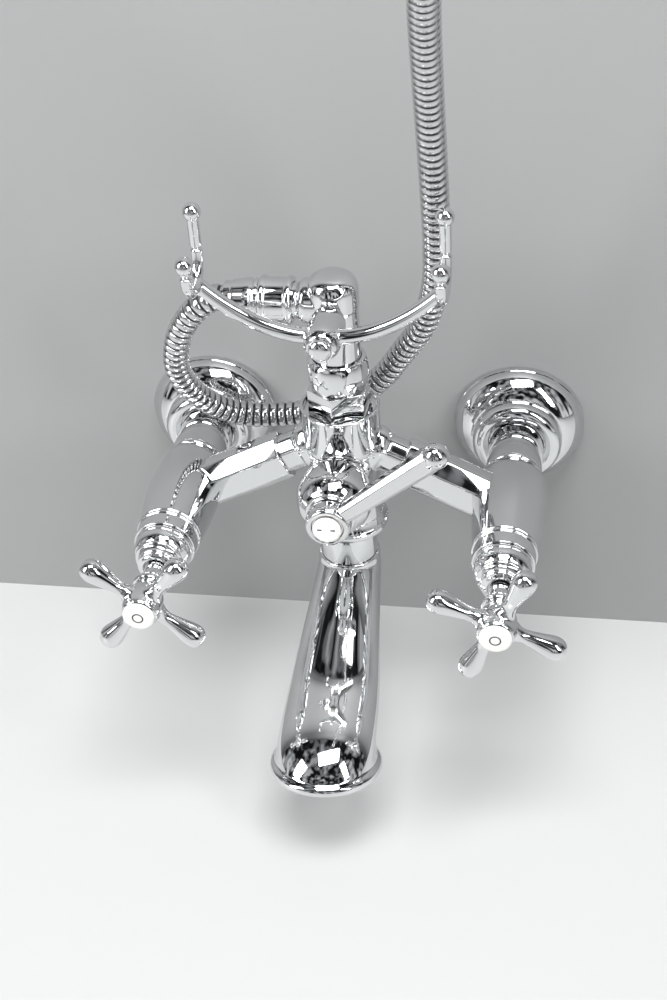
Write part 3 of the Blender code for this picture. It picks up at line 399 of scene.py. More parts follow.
# Wall unions: brass tails with a half inch pipe thread, which screw into the water fittings in the wall, and
# a round collar, turned in place of the spanner's hexagon. Behind the flanges a union nut pulls each valve
# onto them.
THREAD_PITCH = 1.81
TAIL_R = 10.45
machined_brass, tree, shader = surface("machined_brass")
shader.inputs["Base Color"].default_value = linear("#C9A65C")
shader.inputs["Metallic"].default_value = 1.0
place = node(tree, "ShaderNodeTexCoord").outputs["Object"]
# Lathe lines run round the inlets' axes, every 0.6 mm.
lines = node(
    tree,
    "ShaderNodeTexWave",
    {"Vector": place, "Scale": 520.0, "Distortion": 0.6, "Detail": 2.0},
    bands_direction="Y",
)
tarnish = node(tree, "ShaderNodeTexNoise", {"Vector": place, "Scale": 160.0, "Detail": 5.0})
worn = node(
    tree,
    "ShaderNodeMapRange",
    {"Value": tarnish.outputs["Fac"], "From Min": 0.3, "From Max": 0.7, "To Min": 0.22, "To Max": 0.42},
)
tree.links.new(worn.outputs["Result"], shader.inputs["Roughness"])
raised(tree, shader, lines.outputs["Fac"], 0.5, 0.01)


def broken(bm, width, parts):
    """Breaks every edge of a solid to a small round."""
    bmesh.ops.bevel(
        bm,
        geom=list(bm.edges),
        offset=width,
        affect="EDGES",
        segments=parts,
        profile=0.5,
        material=-1,
    )
    return bm


def hexagon(flats, low, high, place, bevel, turn):
    """A hexagonal bar with its edges broken, standing on Z from low to high."""
    bm = bmesh.new()
    radius = flats / math.sqrt(3)
    middle = Matrix.Translation((0, 0, (low + high) / 2)) @ Matrix.Rotation(math.radians(turn), 4, "Z")
    bmesh.ops.create_cone(
        bm,
        cap_ends=True,
        segments=6,
        radius1=radius,
        radius2=radius,
        depth=high - low,
        matrix=middle,
    )
    broken(bm, bevel, 3)
    bmesh.ops.transform(bm, matrix=place, verts=bm.verts)
    return bm


SIDES = (("left", -1), ("right", 1))
thread = [(7.0, 0.3), (7.0, -23.9), (TAIL_R - 1.4, -23.9)]
for turn in range(12):
    height = -23.2 + turn * THREAD_PITCH
    thread += [(TAIL_R - 1.1, height), (TAIL_R, height + 0.8), (TAIL_R, height + 1.0)]
thread += [(TAIL_R - 1.1, -0.9), (TAIL_R - 1.1, 0.3)]
for side, sign in SIDES:
    inlet = outward(sign * inlet_x, 0)
    collar = turned([(7.0, 0.4), (13.0, 0.4), (13.2, 0.8), (13.2, 14.8), (13.0, 15.0), (7.0, 15.0)], inlet)
    union = finished("wall_union_threaded_" + side, machined_brass, turned(thread, inlet), collar)
    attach(union, "mixer")
    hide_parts("wall_union_" + side)


# Wall flanges: pressed brass roses, chromed, that slide over the valves' necks and hide the unions. Each is
# a flat rim, a low dome and a rolled bead round the neck.
for side, sign in SIDES:
    inlet = outward(sign * inlet_x, 0)
    rose = outline(
        (34.6, 0),
        [(37.25, 0)],
        [(37.25, 3.4)],
        [(36.6, 4.2)],
        [(36.1, 6.2), (34.6, 9.2), (31.8, 12.7), (28.9, 15.3), (26.4, 16.9)],
        [(25.2, 17.2)],
        [(25.3, 20.2), (24.9, 22.6), (23.5, 24.8), (21.4, 26.1), (19.1, 26.35), (17.2, 25.4)],
        [(15.85, 24.6)],
        [(15.85, 21.9)],
        [(19.5, 21.9)],
        [(21.9, 14.5)],
        [(27.8, 9.5)],
        [(32.2, 4.5)],
    )
    flange = finished("wall_rose_" + side, chrome, turned(rose, inlet, 128))
    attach(flange, "mixer")
    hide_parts("wall_flange_" + side)


# Valve bodies: brass castings turned and chromed, a slim neck that swells to a barrel. Each ends in a band,
# into which the headwork screws, and a bonnet of stepped rings covers the headwork.
for side, sign in SIDES:
    inlet = outward(sign * inlet_x, 0)
    barrel = outline(
        (7.0, 17.6),
        [(12.2, 17.6)],
        [(12.2, 19.6)],
        [(10.0, 19.6)],
        [(10.0, 21.9)],
        [(15.5, 21.9)],
        [(15.5, 53.4)],
        [(16.2, 53.9), (16.6, 55.0), (16.2, 56.1)],
        [(15.8, 56.5)],
        [
            (16.6, 57.4),
            (17.5, 60.5),
            (18.5, 66.0),
            (19.4, 75.0),
            (19.8, 86.0),
            (19.4, 97.0),
            (18.5, 107.0),
            (17.2, 119.2),
        ],
        [(16.7, 119.6)],
        [(17.2, 120.1), (17.4, 121.0), (17.2, 121.9)],
        [(16.5, 122.3)],
        [(16.4, 130.5)],
        [(13.5, 130.5)],
        [(13.5, 100.0)],
        [(7.0, 96.0)],
        edge=0.35,
    )
    valve = finished("valve_barrel_" + side, chrome, turned(barrel, inlet, 112))
    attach(valve, "mixer")
    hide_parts("valve_body_" + side)
    rings = outline(
        (13.6, 130.8),
        [(15.5, 130.8)],
        [(15.5, 133.2)],
        [(15.1, 133.6)],
        [(15.0, 135.4), (14.2, 138.0), (12.9, 140.0)],
        [(12.3, 140.6)],
        [(12.8, 141.2), (12.9, 142.0), (12.4, 142.7)],
        [(11.8, 142.9)],
        [(11.2, 143.5), (10.6, 144.6), (10.4, 145.9)],
        [(9.8, 146.2)],
        [(10.3, 146.7), (10.3, 147.6), (9.8, 148.1)],
        [(9.0, 148.3)],
        [(8.2, 149.0), (7.2, 149.4), (6.4, 149.4)],
        [(4.5, 149.4)],
        [(4.5, 143.0)],
        [(8.4, 141.6)],
        [(10.4, 138.3)],
        [(13.6, 133.8)],
        edge=0.3,
    )
    bonnet = finished("headwork_bonnet_" + side, chrome, turned(rings, inlet))
    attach(bonnet, "mixer")
    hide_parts("bonnet_" + side)


# Cross handles: chromed brass castings, four pear-shaped arms that run into the hub with a soft fillet.
# The turned neck is crisp, and a white button with a plain ring covers the screw.
HANDLE_TURNS = {"left": 50.0, "right": 65.0}
HANDLE_OUT = 176.0


def evaluated(bm, prepare):
    """The bmesh after the modifiers that prepare() puts on it, as a new bmesh."""
    mesh = bpy.data.meshes.new("blank")
    bmesh.ops.recalc_face_normals(bm, faces=bm.faces)
    bm.to_mesh(mesh)
    bm.free()
    blank = bpy.data.objects.new("blank", mesh)
    bpy.context.scene.collection.objects.link(blank)
    prepare(blank)
    shaped = blank.evaluated_get(bpy.context.evaluated_depsgraph_get()).to_mesh()
    made = bmesh.new()
    made.from_mesh(shaped)
    bpy.data.objects.remove(blank)
    return made


def cast(shells, voxel, rounds):
    """One casting of several solids: their joints fill in and round off, as in a mould that was dressed."""
    whole = bmesh.new()
    for shell in shells:
        bmesh.ops.recalc_face_normals(shell, faces=shell.faces)
        part = bpy.data.meshes.new("part")
        shell.to_mesh(part)
        shell.free()
        whole.from_mesh(part)
        bpy.data.meshes.remove(part)

    def prepare(blank):
        remesh = blank.modifiers.new("cast", "REMESH")
        remesh.mode = "VOXEL"
        remesh.voxel_size = voxel
        smooth = blank.modifiers.new("dressed", "SMOOTH")
        smooth.factor = 0.5
        smooth.iterations = rounds

    return evaluated(whole, prepare)


enamel, tree, shader = surface("glazed_white_button")
shader.inputs["Base Color"].default_value = linear("#F3F2EE")
shader.inputs["Roughness"].default_value = 0.12
shader.inputs["Subsurface Weight"].default_value = 0.05
shader.inputs["Subsurface Scale"].default_value = 1.0 * MM
place = node(tree, "ShaderNodeTexCoord").outputs["Object"]
glaze = node(tree, "ShaderNodeTexNoise", {"Vector": place, "Scale": 300.0, "Detail": 2.0})
raised(tree, shader, glaze.outputs["Fac"], 0.4, 0.02)
ink, tree, shader = surface("fired_dark_ink")
shader.inputs["Base Color"].default_value = linear("#2E3033")
shader.inputs["Roughness"].default_value = 0.3


def radial(place, turn, up):
    """A frame with +Z along a radius of another frame, turned from its +X and at a height on its +Z."""
    spin = Matrix.Rotation(math.radians(turn), 4, "Z")
    return place @ spin @ Matrix.Translation((0, 0, up)) @ Matrix.Rotation(math.radians(90), 4, "Y")


for side, sign in SIDES:
    inlet = outward(sign * inlet_x, 0)
    hub = outline(
        (0, 164.8),
        [(7.4, 164.8)],
        [(8.2, 167.5), (9.4, 170.5), (10.0, 174.0), (10.1, 178.5), (9.7, 182.0)],
        [(9.2, 184.3)],
        [(8.6, 184.6)],
        [(0, 184.6)],
    )
    arm = outline(
        (0, 4.0),
        [(6.4, 4.0)],
        [
            (5.6, 8.6),
            (4.2, 11.6),
            (3.6, 15.0),
            (4.3, 20.0),
            (5.3, 25.0),
            (6.05, 29.0),
            (6.2, 31.5),
            (5.4, 34.8),
            (3.2, 37.0),
            (0, 37.7),
        ],
    )
    arms = [turned(arm, radial(inlet, HANDLE_TURNS[side] + 90 * i, HANDLE_OUT), 32) for i in range(4)]
    casting = cast([turned(hub, inlet, 64)] + arms, voxel=0.42, rounds=7)
    neck = turned(
        outline(
            (4.4, 151.5),
            [(5.6, 151.5)],
            [(5.6, 156.6)],
            [(5.8, 158.2), (6.4, 159.8), (7.2, 161.0)],
            [(8.4, 161.2)],
            [(8.8, 162.2), (8.8, 163.4), (8.3, 164.3)],
            [(7.4, 164.5)],
            [(7.4, 166.0)],
            [(4.4, 166.0)],
            edge=0.3,
        ),
        inlet,
    )
    lip = turned(
        outline((8.3, 184.0), [(9.1, 184.0)], [(9.1, 184.9)], [(8.3, 185.6)], [(8.3, 184.0)], edge=0.3),
        inlet,
    )
    handle = finished("cross_handle_casting_" + side, chrome, casting, neck, lip)
    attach(handle, side + "_handle")
    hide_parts("cross_handle_" + side)
    disc = outline(
        (0, 180.6),
        [(4.9, 180.6)],
        [(4.9, 184.9)],
        [(8.2, 184.9)],
        [(8.2, 186.4)],
        [(7.6, 187.05), (6.4, 187.3), (3.5, 187.5), (0, 187.55)],
    )
    button = finished("handle_cap_" + side, enamel, turned(disc, inlet))
    ring = finished(
        "handle_cap_ring_" + side,
        ink,
        turned([(2.3, 187.3), (3.0, 187.3), (3.0, 187.58), (2.3, 187.6)], inlet, 48),
    )
    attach(button, side + "_handle")
    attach(ring, side + "_handle")
    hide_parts("handle_button_" + side)


# Centre body: the chromed casting that joins both valves. A hub with a diverter boss on its front, a turned
# collar under it and a thin-rimmed cup on top, and two eight-sided arms that slope down to the barrels.
ARM_SLOPE = 26.6
ARM_CENTRE_UP = 12.5  # height of an arm's centre line, ARM_CENTRE_AT from the column
ARM_CENTRE_AT = 60.0
ARM_HALF_TALL = 12.6
ARM_HALF_DEEP = 11.0
ARM_SECTION = [
    (0.35, 1.0),
    (1.0, 0.42),
    (1.0, -0.62),
    (0.6, -1.0),
    (-0.6, -1.0),
    (-1.0, -0.62),
    (-1.0, 0.42),
    (-0.35, 1.0),
]  # shares of those halves, to the front and up


def arm_section(sign, at, scale):
    """Where one arm's section stands, `at` that distance from the column, square to the arm's slope."""
    slope = math.radians(ARM_SLOPE)
    centre = ARM_CENTRE_UP + (ARM_CENTRE_AT - at) * math.tan(slope)
    corners = []
    for front, up in ARM_SECTION:
        rise = up * ARM_HALF_TALL * scale
        x = sign * (at + rise * math.sin(slope))
        y = -column_out - front * ARM_HALF_DEEP * scale
        corners.append((x, y, centre + rise * math.cos(slope)))
    return corners


def arm_bar(sign, start, stop, scale, bevel):
    """One straight eight-sided bar, made by extruding its first section to its last, with broken edges."""
    bm = bmesh.new()
    first = bm.faces.new([bm.verts.new(corner) for corner in arm_section(sign, start, scale)])
    made = bmesh.ops.extrude_face_region(bm, geom=[first], use_keep_orig=True)["geom"]
    shift = Vector(arm_section(sign, stop, scale)[0]) - Vector(arm_section(sign, start, scale)[0])
    fresh = [item for item in made if isinstance(item, bmesh.types.BMVert)]
    bmesh.ops.translate(bm, vec=shift, verts=fresh)
    bmesh.ops.recalc_face_normals(bm, faces=bm.faces)
    return broken(bm, bevel, 4)


trunk = outline(
    (0, -10.0),
    [(20.6, -10.0)],
    [(20.0, -8.0), (19.6, -4.0), (19.3, 6.0), (19.5, 18.0), (19.6, 28.0)],
    [(19.8, 36.0)],
    [(0, 36.0)],
)
boss = outline((0, 60.0), [(17.0, 60.0)], [(17.0, 96.5)], [(16.6, 98.0)], [(0, 98.0)])
necks = [arm_bar(sign, 12.0, 36.0, scale=0.8, bevel=1.6) for sign in (-1, 1)]
roots = [arm_bar(sign, 12.0, 22.5, scale=1.0, bevel=4.0) for sign in (-1, 1)]
middle_solids = [turned(trunk, upright, 96), turned(boss, outward(0, diverter_up), 96)]
core = cast(middle_solids + necks + roots, voxel=0.6, rounds=26)
cup = outline(
    (0, 34.0),
    [(19.4, 34.0)],
    [(20.2, 35.4), (20.8, 36.8), (21.0, 38.4)],
    [(21.0, 59.4)],
    [(21.3, 59.9), (21.3, 60.5), (20.9, 60.95)],
    [(19.8, 60.95)],
    [(19.3, 60.2)],
    [(19.3, 57.0)],
    [(0, 57.0)],
    edge=0.3,
)
collar = outline(
    (13.0, -17.0),
    [(22.0, -17.0)],
    [(22.8, -16.4), (23.0, -15.2), (22.8, -13.6)],
    [(22.0, -13.0)],
    [(21.6, -12.4), (20.9, -10.4), (20.2, -8.0)],
    [(13.0, -8.0)],
    edge=0.3,
)
arms = [arm_bar(sign, 31.5, 78.0, scale=1.0, bevel=1.0) for sign in (-1, 1)]
body = finished(
    "centre_casting",
    chrome,
    core,
    turned(cup, upright, 128),
    turned(collar, upright, 128),
    *arms,
)
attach(body, "mixer")
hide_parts("centre_body")


# Riser: a hexagonal bush stands in the cup, a domed nut with six flats holds the column on it, and the
# column ends in a domed elbow with a stub to the left for the hose.
SPANNER_FLATS = 30.0
BUSH_TURN = -5.5
NUT_TURN = 21.6
bush_bar = hexagon(SPANNER_FLATS, 57.3, 73.0, upright, bevel=0.4, turn=BUSH_TURN)
bush = finished("riser_hexagon_bush", chrome, bush_bar)
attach(bush, "mixer")
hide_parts("riser_bush")


def common(bm, other):
    """What two solids share, with the edges left crisp."""
    guide_mesh = bpy.data.meshes.new("guide")
    bmesh.ops.recalc_face_normals(other, faces=other.faces)
    other.to_mesh(guide_mesh)
    other.free()
    guide = bpy.data.objects.new("guide", guide_mesh)
    bpy.context.scene.collection.objects.link(guide)

    def prepare(blank):
        cut = blank.modifiers.new("cut", "BOOLEAN")
        cut.operation = "INTERSECT"
        cut.object = guide

    made = evaluated(bm, prepare)
    bpy.data.objects.remove(guide)
    return made


nut_round = outline(
    (13.1, 73.3),
    [(14.8, 73.3)],
    [(15.8, 75.4), (16.5, 78.0), (16.95, 81.8), (16.5, 86.0), (15.8, 88.6), (14.9, 90.2)],
    [(14.2, 90.8)],
    [(13.1, 90.8)],
    edge=0.3,
)
nut_bar = hexagon(SPANNER_FLATS, 70.0, 94.0, upright, bevel=0.15, turn=NUT_TURN)
column_nut = finished("column_nut_hexagon", chrome, common(turned(nut_round, upright, 128), nut_bar))
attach(column_nut, "mixer")
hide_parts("column_nut")

shaft = outline(
    (0, 74.3),
    [(12.8, 74.3)],
    [(12.8, 118.8)],
    [(13.4, 121.0)],
    [(13.4, 128.0), (13.0, 132.0), (11.4, 135.4), (8.2, 137.6), (4.2, 138.4), (0, 138.5)],
)
stub = outline(
    (0, 2.0),
    [(11.8, 2.0)],
    [(11.8, 14.0)],
    [(10.9, 15.8), (9.8, 16.8), (9.2, 18.4)],
    [(9.2, 32.4)],
    [(0, 32.4)],
)
elbow = cast([turned(shaft, upright, 96), turned(stub, outlet_axis, 72)], voxel=0.5, rounds=8)
riser = finished("riser_column_elbow", chrome, elbow)
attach(riser, "mixer")
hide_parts("riser_elbow")

knurled = outline(
    (9.5, 20.0),
    [(11.6, 20.0)],
    [(12.3, 20.8), (12.4, 22.2), (11.9, 23.4)],
    [(11.6, 23.8)],
    [(11.6, 33.2)],
    [(11.9, 33.6)],
    [(12.4, 34.6), (12.3, 36.2), (11.6, 37.0)],
    [(9.5, 37.0)],
    edge=0.3,
)
outlet_nut = finished("hose_outlet_nut", chrome, turned(knurled, outlet_axis))
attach(outlet_nut, "mixer")
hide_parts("outlet_nut")


# Handset cradle: two bowed rods and two J-shaped forks with ball ends, brazed to a boss on the riser's
# front, chromed as one. A domed screw holds the boss.
CRADLE_OUT = 110.0
CRADLE_UP = 120.0
BOW_START = 4.0
FORK_X = 60.0
BEND_R = 12.0
BEND_PARTS = 6
ROD_STEP = 1.5
ROD_SIDES = 20


def swept(bm, edges, places):
    """Extrudes a first section, whose edges are given, from place to place and closes the last one."""
    for before, after in zip(places, places[1:]):
        made = bmesh.ops.extrude_edge_only(bm, edges=edges)["geom"]
        fresh = [item for item in made if isinstance(item, bmesh.types.BMVert)]
        edges = [item for item in made if isinstance(item, bmesh.types.BMEdge) and item.is_boundary]
        bmesh.ops.transform(bm, matrix=after @ before.inverted(), verts=fresh)
    bmesh.ops.contextual_create(bm, geom=edges)
    return bm


def rod(points, radius):
    """A round rod bent along a smooth curve: a circle extruded from point to point."""
    way_points = through(points, ROD_STEP)
    bm = bmesh.new()
    places = []
    for index, point in enumerate(way_points):
        ahead = way_points[min(index + 1, len(way_points) - 1)]
        behind = way_points[max(index - 1, 0)]
        along_x = (ahead - behind).normalized()
        turn = along_x.to_track_quat("Z", "Y").to_matrix().to_4x4()
        places.append(Matrix.Translation(point) @ turn)
    bmesh.ops.create_circle(bm, cap_ends=True, segments=ROD_SIDES, radius=radius, matrix=places[0])
    return swept(bm, list(bm.edges), places)


cradle_axis = outward(0, CRADLE_UP)
cradle_parts = [
    turned(
        outline(
            (0, 90.7),
            [(8.0, 90.7)],
            [(8.8, 93.4), (9.4, 98.0), (9.5, 106.0), (9.4, 111.0), (8.9, 114.6), (7.4, 117.4)],
            [(6.5, 118.5)],
            [(0, 118.5)],
        ),
        cradle_axis,
        64,
    )
]
for sign in (-1, 1):
    bow = []
    for part in range(BEND_PARTS + 1):
        share = part / BEND_PARTS
        across = BOW_START + (FORK_X - BOW_START) * share
        bow.append((sign * across, -CRADLE_OUT, CRADLE_UP + 2.0 + 27.5 * share**2))
    cradle_parts.append(rod(bow, 3.9))
    fork = [(sign * FORK_X, -103.0, 184.5), (sign * FORK_X, -103.0, 173.0)]
    for part in range(BEND_PARTS + 1):
        angle = math.pi * part / BEND_PARTS
        fork.append((sign * FORK_X, -115.0 + BEND_R * math.cos(angle), 161.5 - BEND_R * math.sin(angle)))
    fork.append((sign * FORK_X, -127.0, 168.5))
    cradle_parts.append(rod(fork, 3.0))
    for end in (fork[0], fork[-1]):
        ball = bmesh.new()
        bmesh.ops.create_uvsphere(
            ball,
            u_segments=32,
            v_segments=20,
            radius=4.6,
            matrix=Matrix.Translation(end),
        )
        cradle_parts.append(ball)
cradle = finished("handset_cradle_casting", chrome, cast(cradle_parts, voxel=0.42, rounds=6))
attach(cradle, "mixer")
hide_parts("handset_cradle")
screw_head = outline(
    (0, 91.3),
    [(2.0, 91.3)],
    [(2.0, 118.9)],
    [(5.9, 118.9)],
    [(5.8, 120.2)],
    [(5.3, 121.2), (3.8, 122.3), (1.9, 122.75), (0, 122.8)],
    edge=0.3,
)
cradle_screw = finished("cradle_domed_screw", chrome, turned(screw_head, cradle_axis, 64))
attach(cradle_screw, "mixer")
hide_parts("cradle_screw")


# Diverter: a turned dome on the boss, a cast lever whose tapered bar ends in a ball, and a white button in
# the lever's rim. The button has two short marks for its two stops.
LEVER_TURN = 39.0
diverter_axis = outward(0, diverter_up)
dome = outline(
    (4.5, 98.3),
    [(17.6, 98.3)],
    [
        (18.4, 99.4),
        (19.2, 102.0),
        (19.8, 106.0),
        (20.0, 111.0),
        (19.2, 115.6),
        (17.4, 119.4),
        (15.2, 122.4),
    ],
    [(13.4, 124.0)],
    [(13.2, 125.6)],
    [(4.5, 125.6)],
    edge=0.4,
)
diverter_dome = finished("diverter_domed_bonnet", chrome, turned(dome, diverter_axis, 112))
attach(diverter_dome, "mixer")
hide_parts("diverter_bonnet")

lever_place = diverter_axis @ Matrix.Rotation(math.radians(LEVER_TURN), 4, "Z")
lever_hub = outline(
    (0, 126.1),
    [(11.9, 126.1)],
    [(12.1, 128.6), (12.1, 131.4), (11.6, 133.6)],
    [(11.0, 134.2)],
    [(0, 134.2)],
)
limb = bmesh.new()
LIMB_SECTIONS = (
    (6.0, 4.6, 3.6, 130.8),
    (22.0, 5.1, 3.9, 130.4),
    (44.0, 5.9, 4.5, 129.8),
    (69.0, 6.5, 5.2, 129.4),
)  # reach from the spindle, half width, half depth and distance from the wall
LIMB_CORNERS = (
    (1, 0.55),
    (0.55, 1),
    (-0.55, 1),
    (-1, 0.55),
    (-1, -0.55),
    (-0.55, -1),
    (0.55, -1),
    (1, -0.55),
)  # shares of the half depth and half width
places = []
for reach, wide, deep, out in LIMB_SECTIONS:
    section = Matrix.Translation((reach, 0, out)) @ Matrix.Rotation(math.radians(90), 4, "Y")
    places.append(lever_place @ section @ Matrix.Diagonal((deep, wide, 1, 1)))
face = limb.faces.new([limb.verts.new(places[0] @ Vector((x, y, 0))) for x, y in LIMB_CORNERS])
swept(limb, list(face.edges), places)
lever_ball = bmesh.new()
bmesh.ops.create_uvsphere(
    lever_ball,
    u_segments=48,
    v_segments=32,
    radius=7.0,
    matrix=lever_place @ Matrix.Translation((72.0, 0, 129.5)),
)
lever_casting = cast([turned(lever_hub, diverter_axis, 96), limb, lever_ball], voxel=0.38, rounds=5)
lever_rim = outline(
    (8.0, 133.2),
    [(11.4, 133.2)],
    [(11.3, 134.2), (10.7, 135.2), (9.6, 135.4)],
    [(8.6, 135.0)],
    [(8.0, 134.2)],
    edge=0.2,
)
lever = finished("diverter_lever_casting", chrome, lever_casting, turned(lever_rim, diverter_axis))
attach(lever, "diverter")
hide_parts("diverter_lever")
lever_disc = outline(
    (0, 134.9),
    [(7.4, 134.9)],
    [(7.4, 136.9)],
    [(6.8, 137.5), (5.2, 137.85), (2.6, 138.0), (0, 138.05)],
)
lever_button = finished("lever_cap", enamel, turned(lever_disc, diverter_axis, 64))
marks = []
for sign in (-1, 1):
    mark = bmesh.new()
    spot = diverter_axis @ Matrix.Translation((sign * 3.4, 1.2, 137.9))
    spot = spot @ Matrix.Diagonal((2.4, 0.9, 0.3, 1))
    bmesh.ops.create_cube(mark, size=1.0, matrix=spot)
    marks.append(broken(mark, 0.12, 2))
lever_marks = finished("lever_cap_marks", ink, *marks)
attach(lever_button, "diverter")
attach(lever_marks, "diverter")
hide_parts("lever_button")


# Swivel tube and spout: the tube turns in the collar on a rubber ring, and the cast spout under it bends
# forward, slopes down and widens to a round lip. The outlet holds a plate and a plastic jet insert.
SPOUT_REACH = 107.0
SPOUT_DOWN = 96.0
SPOUT_TILT = 13
tube_line = outline(
    (9.0, -48.0),
    [(12.6, -48.0)],
    [(12.6, -37.7)],
    [(16.0, -37.7)],
    [(16.0, -17.3)],
    [(12.6, -17.3)],
    [(12.6, -11.75)],
    [(10.6, -11.75)],
    [(10.6, -8.75)],
    [(12.6, -8.75)],
    [(12.6, -3.5)],
    [(9.0, -3.5)],
    edge=0.3,
)
swivel = finished("swivel_tube", chrome, turned(tube_line, upright))
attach(swivel, "spout")
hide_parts("spout_swivel")

SPOUT_SECTIONS = [
    (0.0, 38.0, 0, 16.0, 16.0),
    (0.0, 38.2, 0, 17.0, 17.0),
    (0.0, 39.6, 0, 17.5, 17.5),
    (0.2, 43.0, 8, 17.7, 17.6),
    (1.6, 46.6, 24, 18.0, 17.2),
    (7.0, 50.4, 50, 18.5, 15.0),
    (17.0, 54.5, 62, 19.3, 13.9),
    (32.0, 60.6, 64, 20.7, 13.6),
    (49.0, 68.7, 64, 22.7, 13.4),
    (SPOUT_REACH - 40.0, 77.6, 64, 24.7, 13.1),
    (SPOUT_REACH - 28.0, 82.0, 60, 25.7, 14.0),
    (SPOUT_REACH - 16.0, 84.6, 45, 26.1, 17.3),
    (SPOUT_REACH - 6.0, 87.6, 25, 26.5, 22.7),
    (SPOUT_REACH - 1.2, 91.6, SPOUT_TILT, 26.9, 26.7),
    (SPOUT_REACH - 0.4, 94.2, SPOUT_TILT, 27.3, 27.2),
    (SPOUT_REACH - 0.2, 95.0, SPOUT_TILT, 28.4, 28.4),
    (SPOUT_REACH + 0.2, 96.2, SPOUT_TILT, 30.0, 30.0),
    (SPOUT_REACH + 0.6, 97.4, SPOUT_TILT, 30.4, 30.4),
    (SPOUT_REACH + 1.0, 99.2, SPOUT_TILT, 30.4, 30.4),
    (SPOUT_REACH + 1.2, 99.9, SPOUT_TILT, 30.0, 30.0),
    (SPOUT_REACH + 1.3, 100.1, SPOUT_TILT, 29.4, 29.4),
    (SPOUT_REACH + 1.3, 100.1, SPOUT_TILT, 25.2, 25.2),
    (SPOUT_REACH + 1.2, 99.7, SPOUT_TILT, 24.6, 24.6),
    (SPOUT_REACH - 0.1, 94.8, SPOUT_TILT, 24.4, 24.4),
]  # forward of the column, down from the inlets, lean in degrees, half width and half height
places = []
for reach, down, lean, half_wide, half_tall in SPOUT_SECTIONS:
    section = upright @ Matrix.Translation((0, -reach, -down))
    section = section @ Matrix.Rotation(math.radians(-lean), 4, "X")
    places.append(section @ Matrix.Diagonal((half_wide, half_tall, 1, 1)))
shell = bmesh.new()
bmesh.ops.create_circle(shell, cap_ends=True, segments=28, radius=1.0, matrix=places[0])
swept(shell, list(shell.edges), places)


def rounded(blank):
    """Two rounds of subdivision, so that the sections run into one surface."""
    soft = blank.modifiers.new("soft", "SUBSURF")
    soft.levels = 2
    soft.render_levels = 2


spout = finished("spout_casting", chrome, evaluated(shell, rounded))
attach(spout, "spout")
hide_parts("spout")

outlet_face = upright @ Matrix.Translation((0, -SPOUT_REACH - 0.6, -SPOUT_DOWN - 1.5))
outlet_face = outlet_face @ Matrix.Rotation(math.radians(-SPOUT_TILT), 4, "X")
plate_line = outline((16.4, -1.0), [(23.9, -1.0)], [(23.9, 2.0)], [(16.4, 2.0)], edge=0.5)
plate = finished("outlet_plate", chrome, turned(plate_line, outlet_face))
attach(plate, "spout")
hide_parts("aerator_plate")

moulded, tree, shader = surface("moulded_acetal")
shader.inputs["Base Color"].default_value = linear("#D9DADA")
shader.inputs["Roughness"].default_value = 0.35
place = node(tree, "ShaderNodeTexCoord").outputs["Object"]
grain = node(tree, "ShaderNodeTexNoise", {"Vector": place, "Scale": 1500.0, "Detail": 3.0})
raised(tree, shader, grain.outputs["Fac"], 0.3, 0.02)
grate = bmesh.new()
bmesh.ops.create_grid(grate, x_segments=18, y_segments=18, size=15.4)
outside = [vert for vert in grate.verts if vert.co.length > 15.2]
bmesh.ops.delete(grate, geom=outside, context="VERTS")
bmesh.ops.wireframe(
    grate,
    faces=grate.faces,
    thickness=0.45,
    use_boundary=True,
    use_even_offset=True,
    use_replace=True,
)
bmesh.ops.transform(grate, matrix=outlet_face @ Matrix.Translation((0, 0, -0.7)), verts=grate.verts)
ring_line = outline((14.4, -1.6), [(16.0, -1.6)], [(16.0, 2.0)], [(14.4, 2.0)], edge=0.4)
back_line = outline((0, 0.6), [(15.0, 0.6)], [(15.0, 1.6)], [(0, 1.6)], edge=0.3)
rim = turned(ring_line, outlet_face)
jets = finished("jet_insert", moulded, grate, rim, turned(back_line, outlet_face))
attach(jets, "spout")
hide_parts("aerator")


# Inner pieces keep their plain turned shapes: brass headworks, chromed spindles and nuts, rubber washers
# and rings, and stainless steel screws. They show only in the gaps, and from behind.
stainless, tree, shader = surface("turned_stainless_steel")
shader.inputs["Base Color"].default_value = linear("#BBBCBD")
shader.inputs["Metallic"].default_value = 1.0
shader.inputs["Roughness"].default_value = 0.28
place = node(tree, "ShaderNodeTexCoord").outputs["Object"]
lines = node(
    tree,
    "ShaderNodeTexWave",
    {"Vector": place, "Scale": 600.0, "Distortion": 0.4},
    bands_direction="Y",
)
raised(tree, shader, lines.outputs["Fac"], 0.4, 0.01)
INNER = {
    "cartridge_left": machined_brass,
    "cartridge_right": machined_brass,
    "spindle_left": chrome,
    "spindle_right": chrome,
    "diverter_spindle": chrome,
    "union_nut_left": chrome,
    "union_nut_right": chrome,
    "union_washer_left": rubber,
    "union_washer_right": rubber,
    "hose_washer": rubber,
    "spout_seal": rubber,
    "handle_screw_left": stainless,
    "handle_screw_right": stainless,
    "lever_screw": stainless,
}
for name, material in INNER.items():
    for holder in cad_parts[name].material_slots:
        holder.material = material


# The room, in metres: a pale floor under the mixer, a grey wall that it hangs on and three windows of light.
# Polished metal shows only its surroundings, so dark and light cards stand round it, out of the eye's sight.
# Floor and wall are thin air from behind, so that the mixer's back and underside can be seen too.
FLOOR_DOWN = -0.15
FLOOR_HALF = 1.7
WALL_HALF = 1.2
WALL_TALL = 1.7
WALL_BACK = 0.0002
WALL_HOLE_R = 0.034


